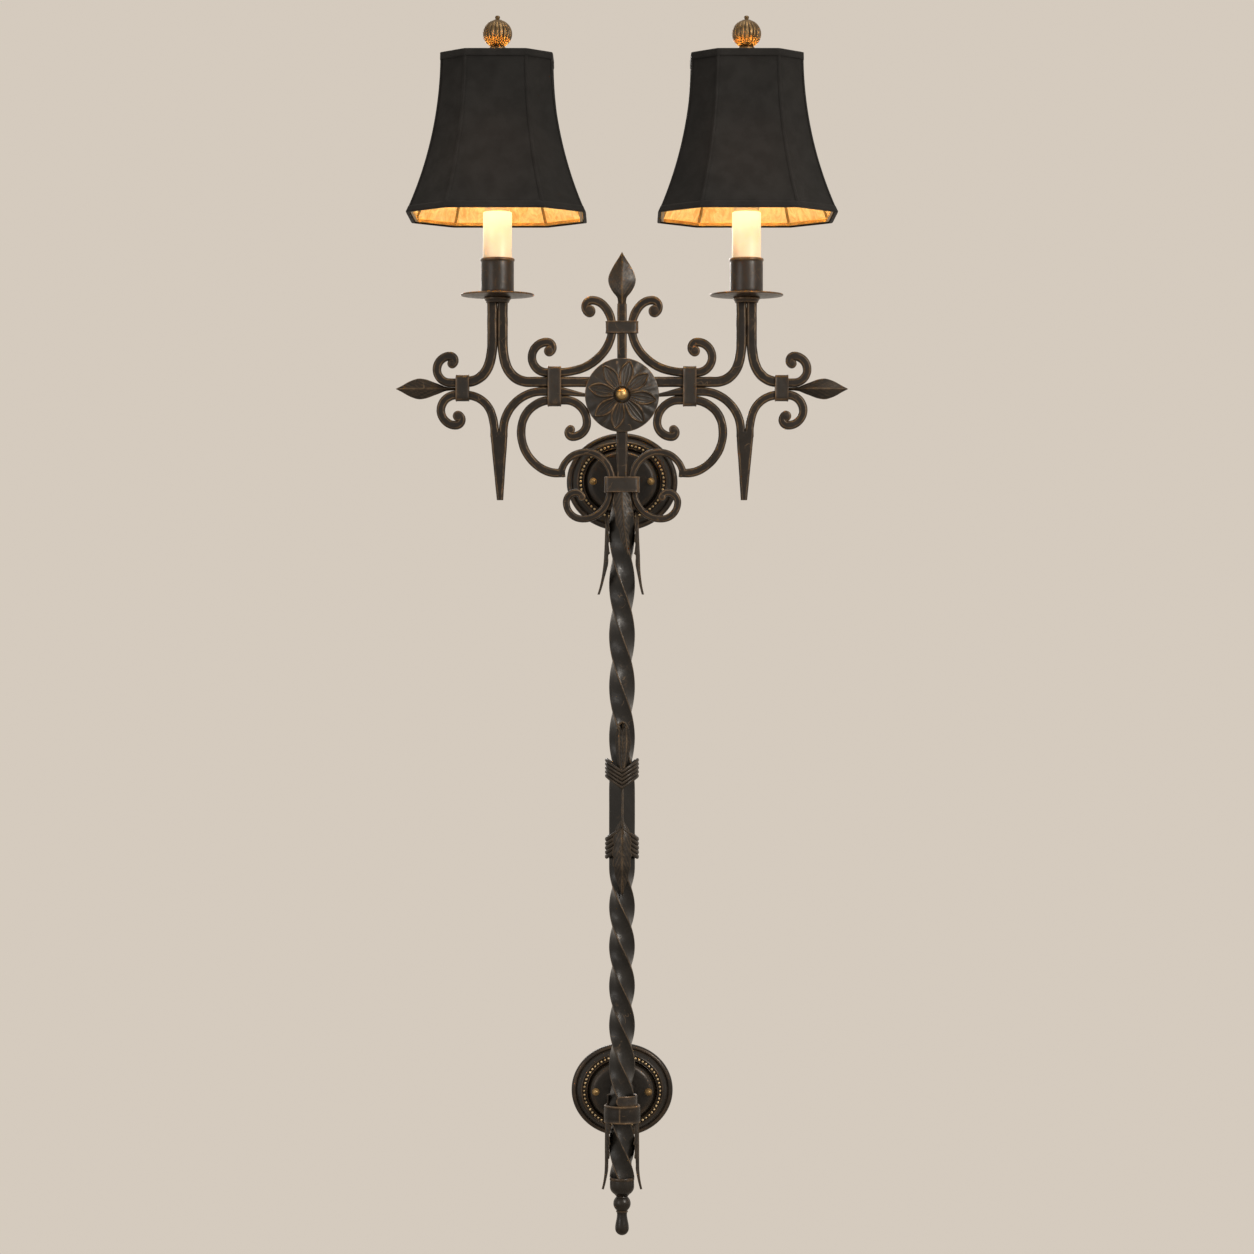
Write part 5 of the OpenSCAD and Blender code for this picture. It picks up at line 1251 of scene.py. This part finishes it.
# ---------------------------------------------------------------- camera, light and floor, in metres
PALE = (0.665, 0.595, 0.515, 1)
WARM, SOFT = (1.0, 0.94, 0.86), (1.0, 0.96, 0.92)
FLOOR_Z, FLOOR_R = -1.35, 3.0
CANDLE_LIGHT_Z = 0.372
CAMERA_AT = (0.005, -3.6, -0.149)
FOCAL_PX, FRAME_PX, SENSOR = 3500, 1254, 36


def put_in(name, data, at, aim=None):
    """Links an object, turned to face a point where one is given."""
    ob = bpy.data.objects.new(name, data)
    ob.location = at
    if aim:
        ob.rotation_euler = (Vector(aim) - Vector(at)).to_track_quat("-Z", "Y").to_euler()
    bpy.context.scene.collection.objects.link(ob)
    return ob


def camera():
    cam = bpy.data.cameras.new("camera")
    cam.sensor_width = SENSOR
    cam.lens = FOCAL_PX / FRAME_PX * SENSOR
    ob = put_in("camera", cam, CAMERA_AT)
    ob.rotation_euler = (radians(90), 0, 0)
    bpy.context.scene.camera = ob


def lights():
    for name, at, aim, power, size, color in (
            ("key", (1.9, -2.3, 1.1), (0, -0.1, -0.1), 56, 0.7, WARM),
            ("fill", (-2.4, -2.2, 0.2), (0, -0.1, -0.1), 16, 1.4, SOFT),
            ("top", (0.2, -0.6, 2.2), (0, -0.1, 0.1), 14, 0.8, WARM),
            ("back", (-0.6, 2.2, 0.8), (0, -0.1, 0.0), 22, 1.2, SOFT)):
        light = bpy.data.lights.new(name, "AREA")
        light.energy, light.size, light.color = power, size, color
        put_in(name, light, at, aim)
    for _, s in LAMPS:
        light = bpy.data.lights.new("candle_light", "POINT")
        light.energy, light.shadow_soft_size, light.color = 1.1, 0.012, (1.0, 0.74, 0.42)
        put_in("candle_light", light, (s * CANDLE * MM, -OUT * MM, CANDLE_LIGHT_Z))


def world():
    """Soft light from all sides; what the camera, reflections and glass see is the pale wall."""
    scene_world = bpy.data.worlds.new("world")
    bpy.context.scene.world = scene_world
    scene_world.use_nodes = True
    t = Tree(scene_world.node_tree)
    path = t.new("ShaderNodeLightPath").outputs
    seen = t.math("MAXIMUM", t.math("MAXIMUM", path["Is Camera Ray"], path["Is Glossy Ray"]),
                  path["Is Transmission Ray"])
    light, wall = [t.new("ShaderNodeBackground", {0: color, 1: power}).outputs[0]
                   for color, power in (((1.0, 0.96, 0.9, 1), 0.34), (PALE, 1.0))]
    t.new("ShaderNodeOutputWorld", {0: t.new("ShaderNodeMixShader", {0: seen, 1: light, 2: wall}).outputs[0]})


def floor_disc():
    """Floor that the camera sees melt into the wall's tone with distance."""
    n = Nodes("floor")
    n.set(Base_Color=n.mix(n.noise(3, 2), (0.5, 0.455, 0.4), (0.53, 0.48, 0.42)), Roughness=0.95,
          Specular_IOR_Level=0.1)
    ray = n.new("ShaderNodeLightPath").outputs["Is Camera Ray"]
    glow = n.new("ShaderNodeEmission", {0: PALE, 1: n.math("MULTIPLY", ray, 0.6)})
    lit = n.new("ShaderNodeAddShader", {0: n.bsdf.outputs[0], 1: glow.outputs[0]}).outputs[0]
    far = n.new("ShaderNodeEmission", {0: PALE}).outputs[0]
    away = n.new("ShaderNodeVectorMath", {0: n.scaled((1, 1, 0))}, operation="LENGTH").outputs["Value"]
    edge = n.math("MULTIPLY", ray, n.range(away, 1.0, FLOOR_R * 0.95))
    n.put(n.out.inputs[0], n.new("ShaderNodeMixShader", {0: edge, 1: lit, 2: far}).outputs[0])
    me = bpy.data.meshes.new("floor")
    me.from_pydata(level_ring(0, 0, FLOOR_Z, FLOOR_R, 64), [], [list(range(64))])
    me.materials.append(n.mat)
    floor = put_in("floor", me, (0, 0, 0))


camera()
lights()
world()
floor_disc()
bpy.context.scene.view_settings.view_transform = "Standard"


# ---------------------------------------------------------------- CAD nodes that stay
def keep(looks, prefix=""):
    """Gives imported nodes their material."""
    for node, mat in looks.items():
        ob = frame["nodes"][prefix + node]
        if not ob.material_slots:
            ob.data.materials.append(mat)
        for slot in ob.material_slots:
            slot.material = mat


keep({"rosette_ball": rose_gold, "rosette_nut": iron_bar, "upper_arm": iron_bar, "arm_locknuts": iron_bar,
      "plate_nuts": brass, "mounting_straps": steel, "nipples": brass, "cup_locknuts": brass,
      "holder_rings": holder_ivory})
for lamp_side, _ in LAMPS:
    keep({"lamp_holder": holder_ivory, "harp_saddle": wire_brass, "bulb_base": bulb_cap, "bulb_glass": glass,
          "harp": wire_brass, "shade_frame": wire_brass}, lamp_side + "_")
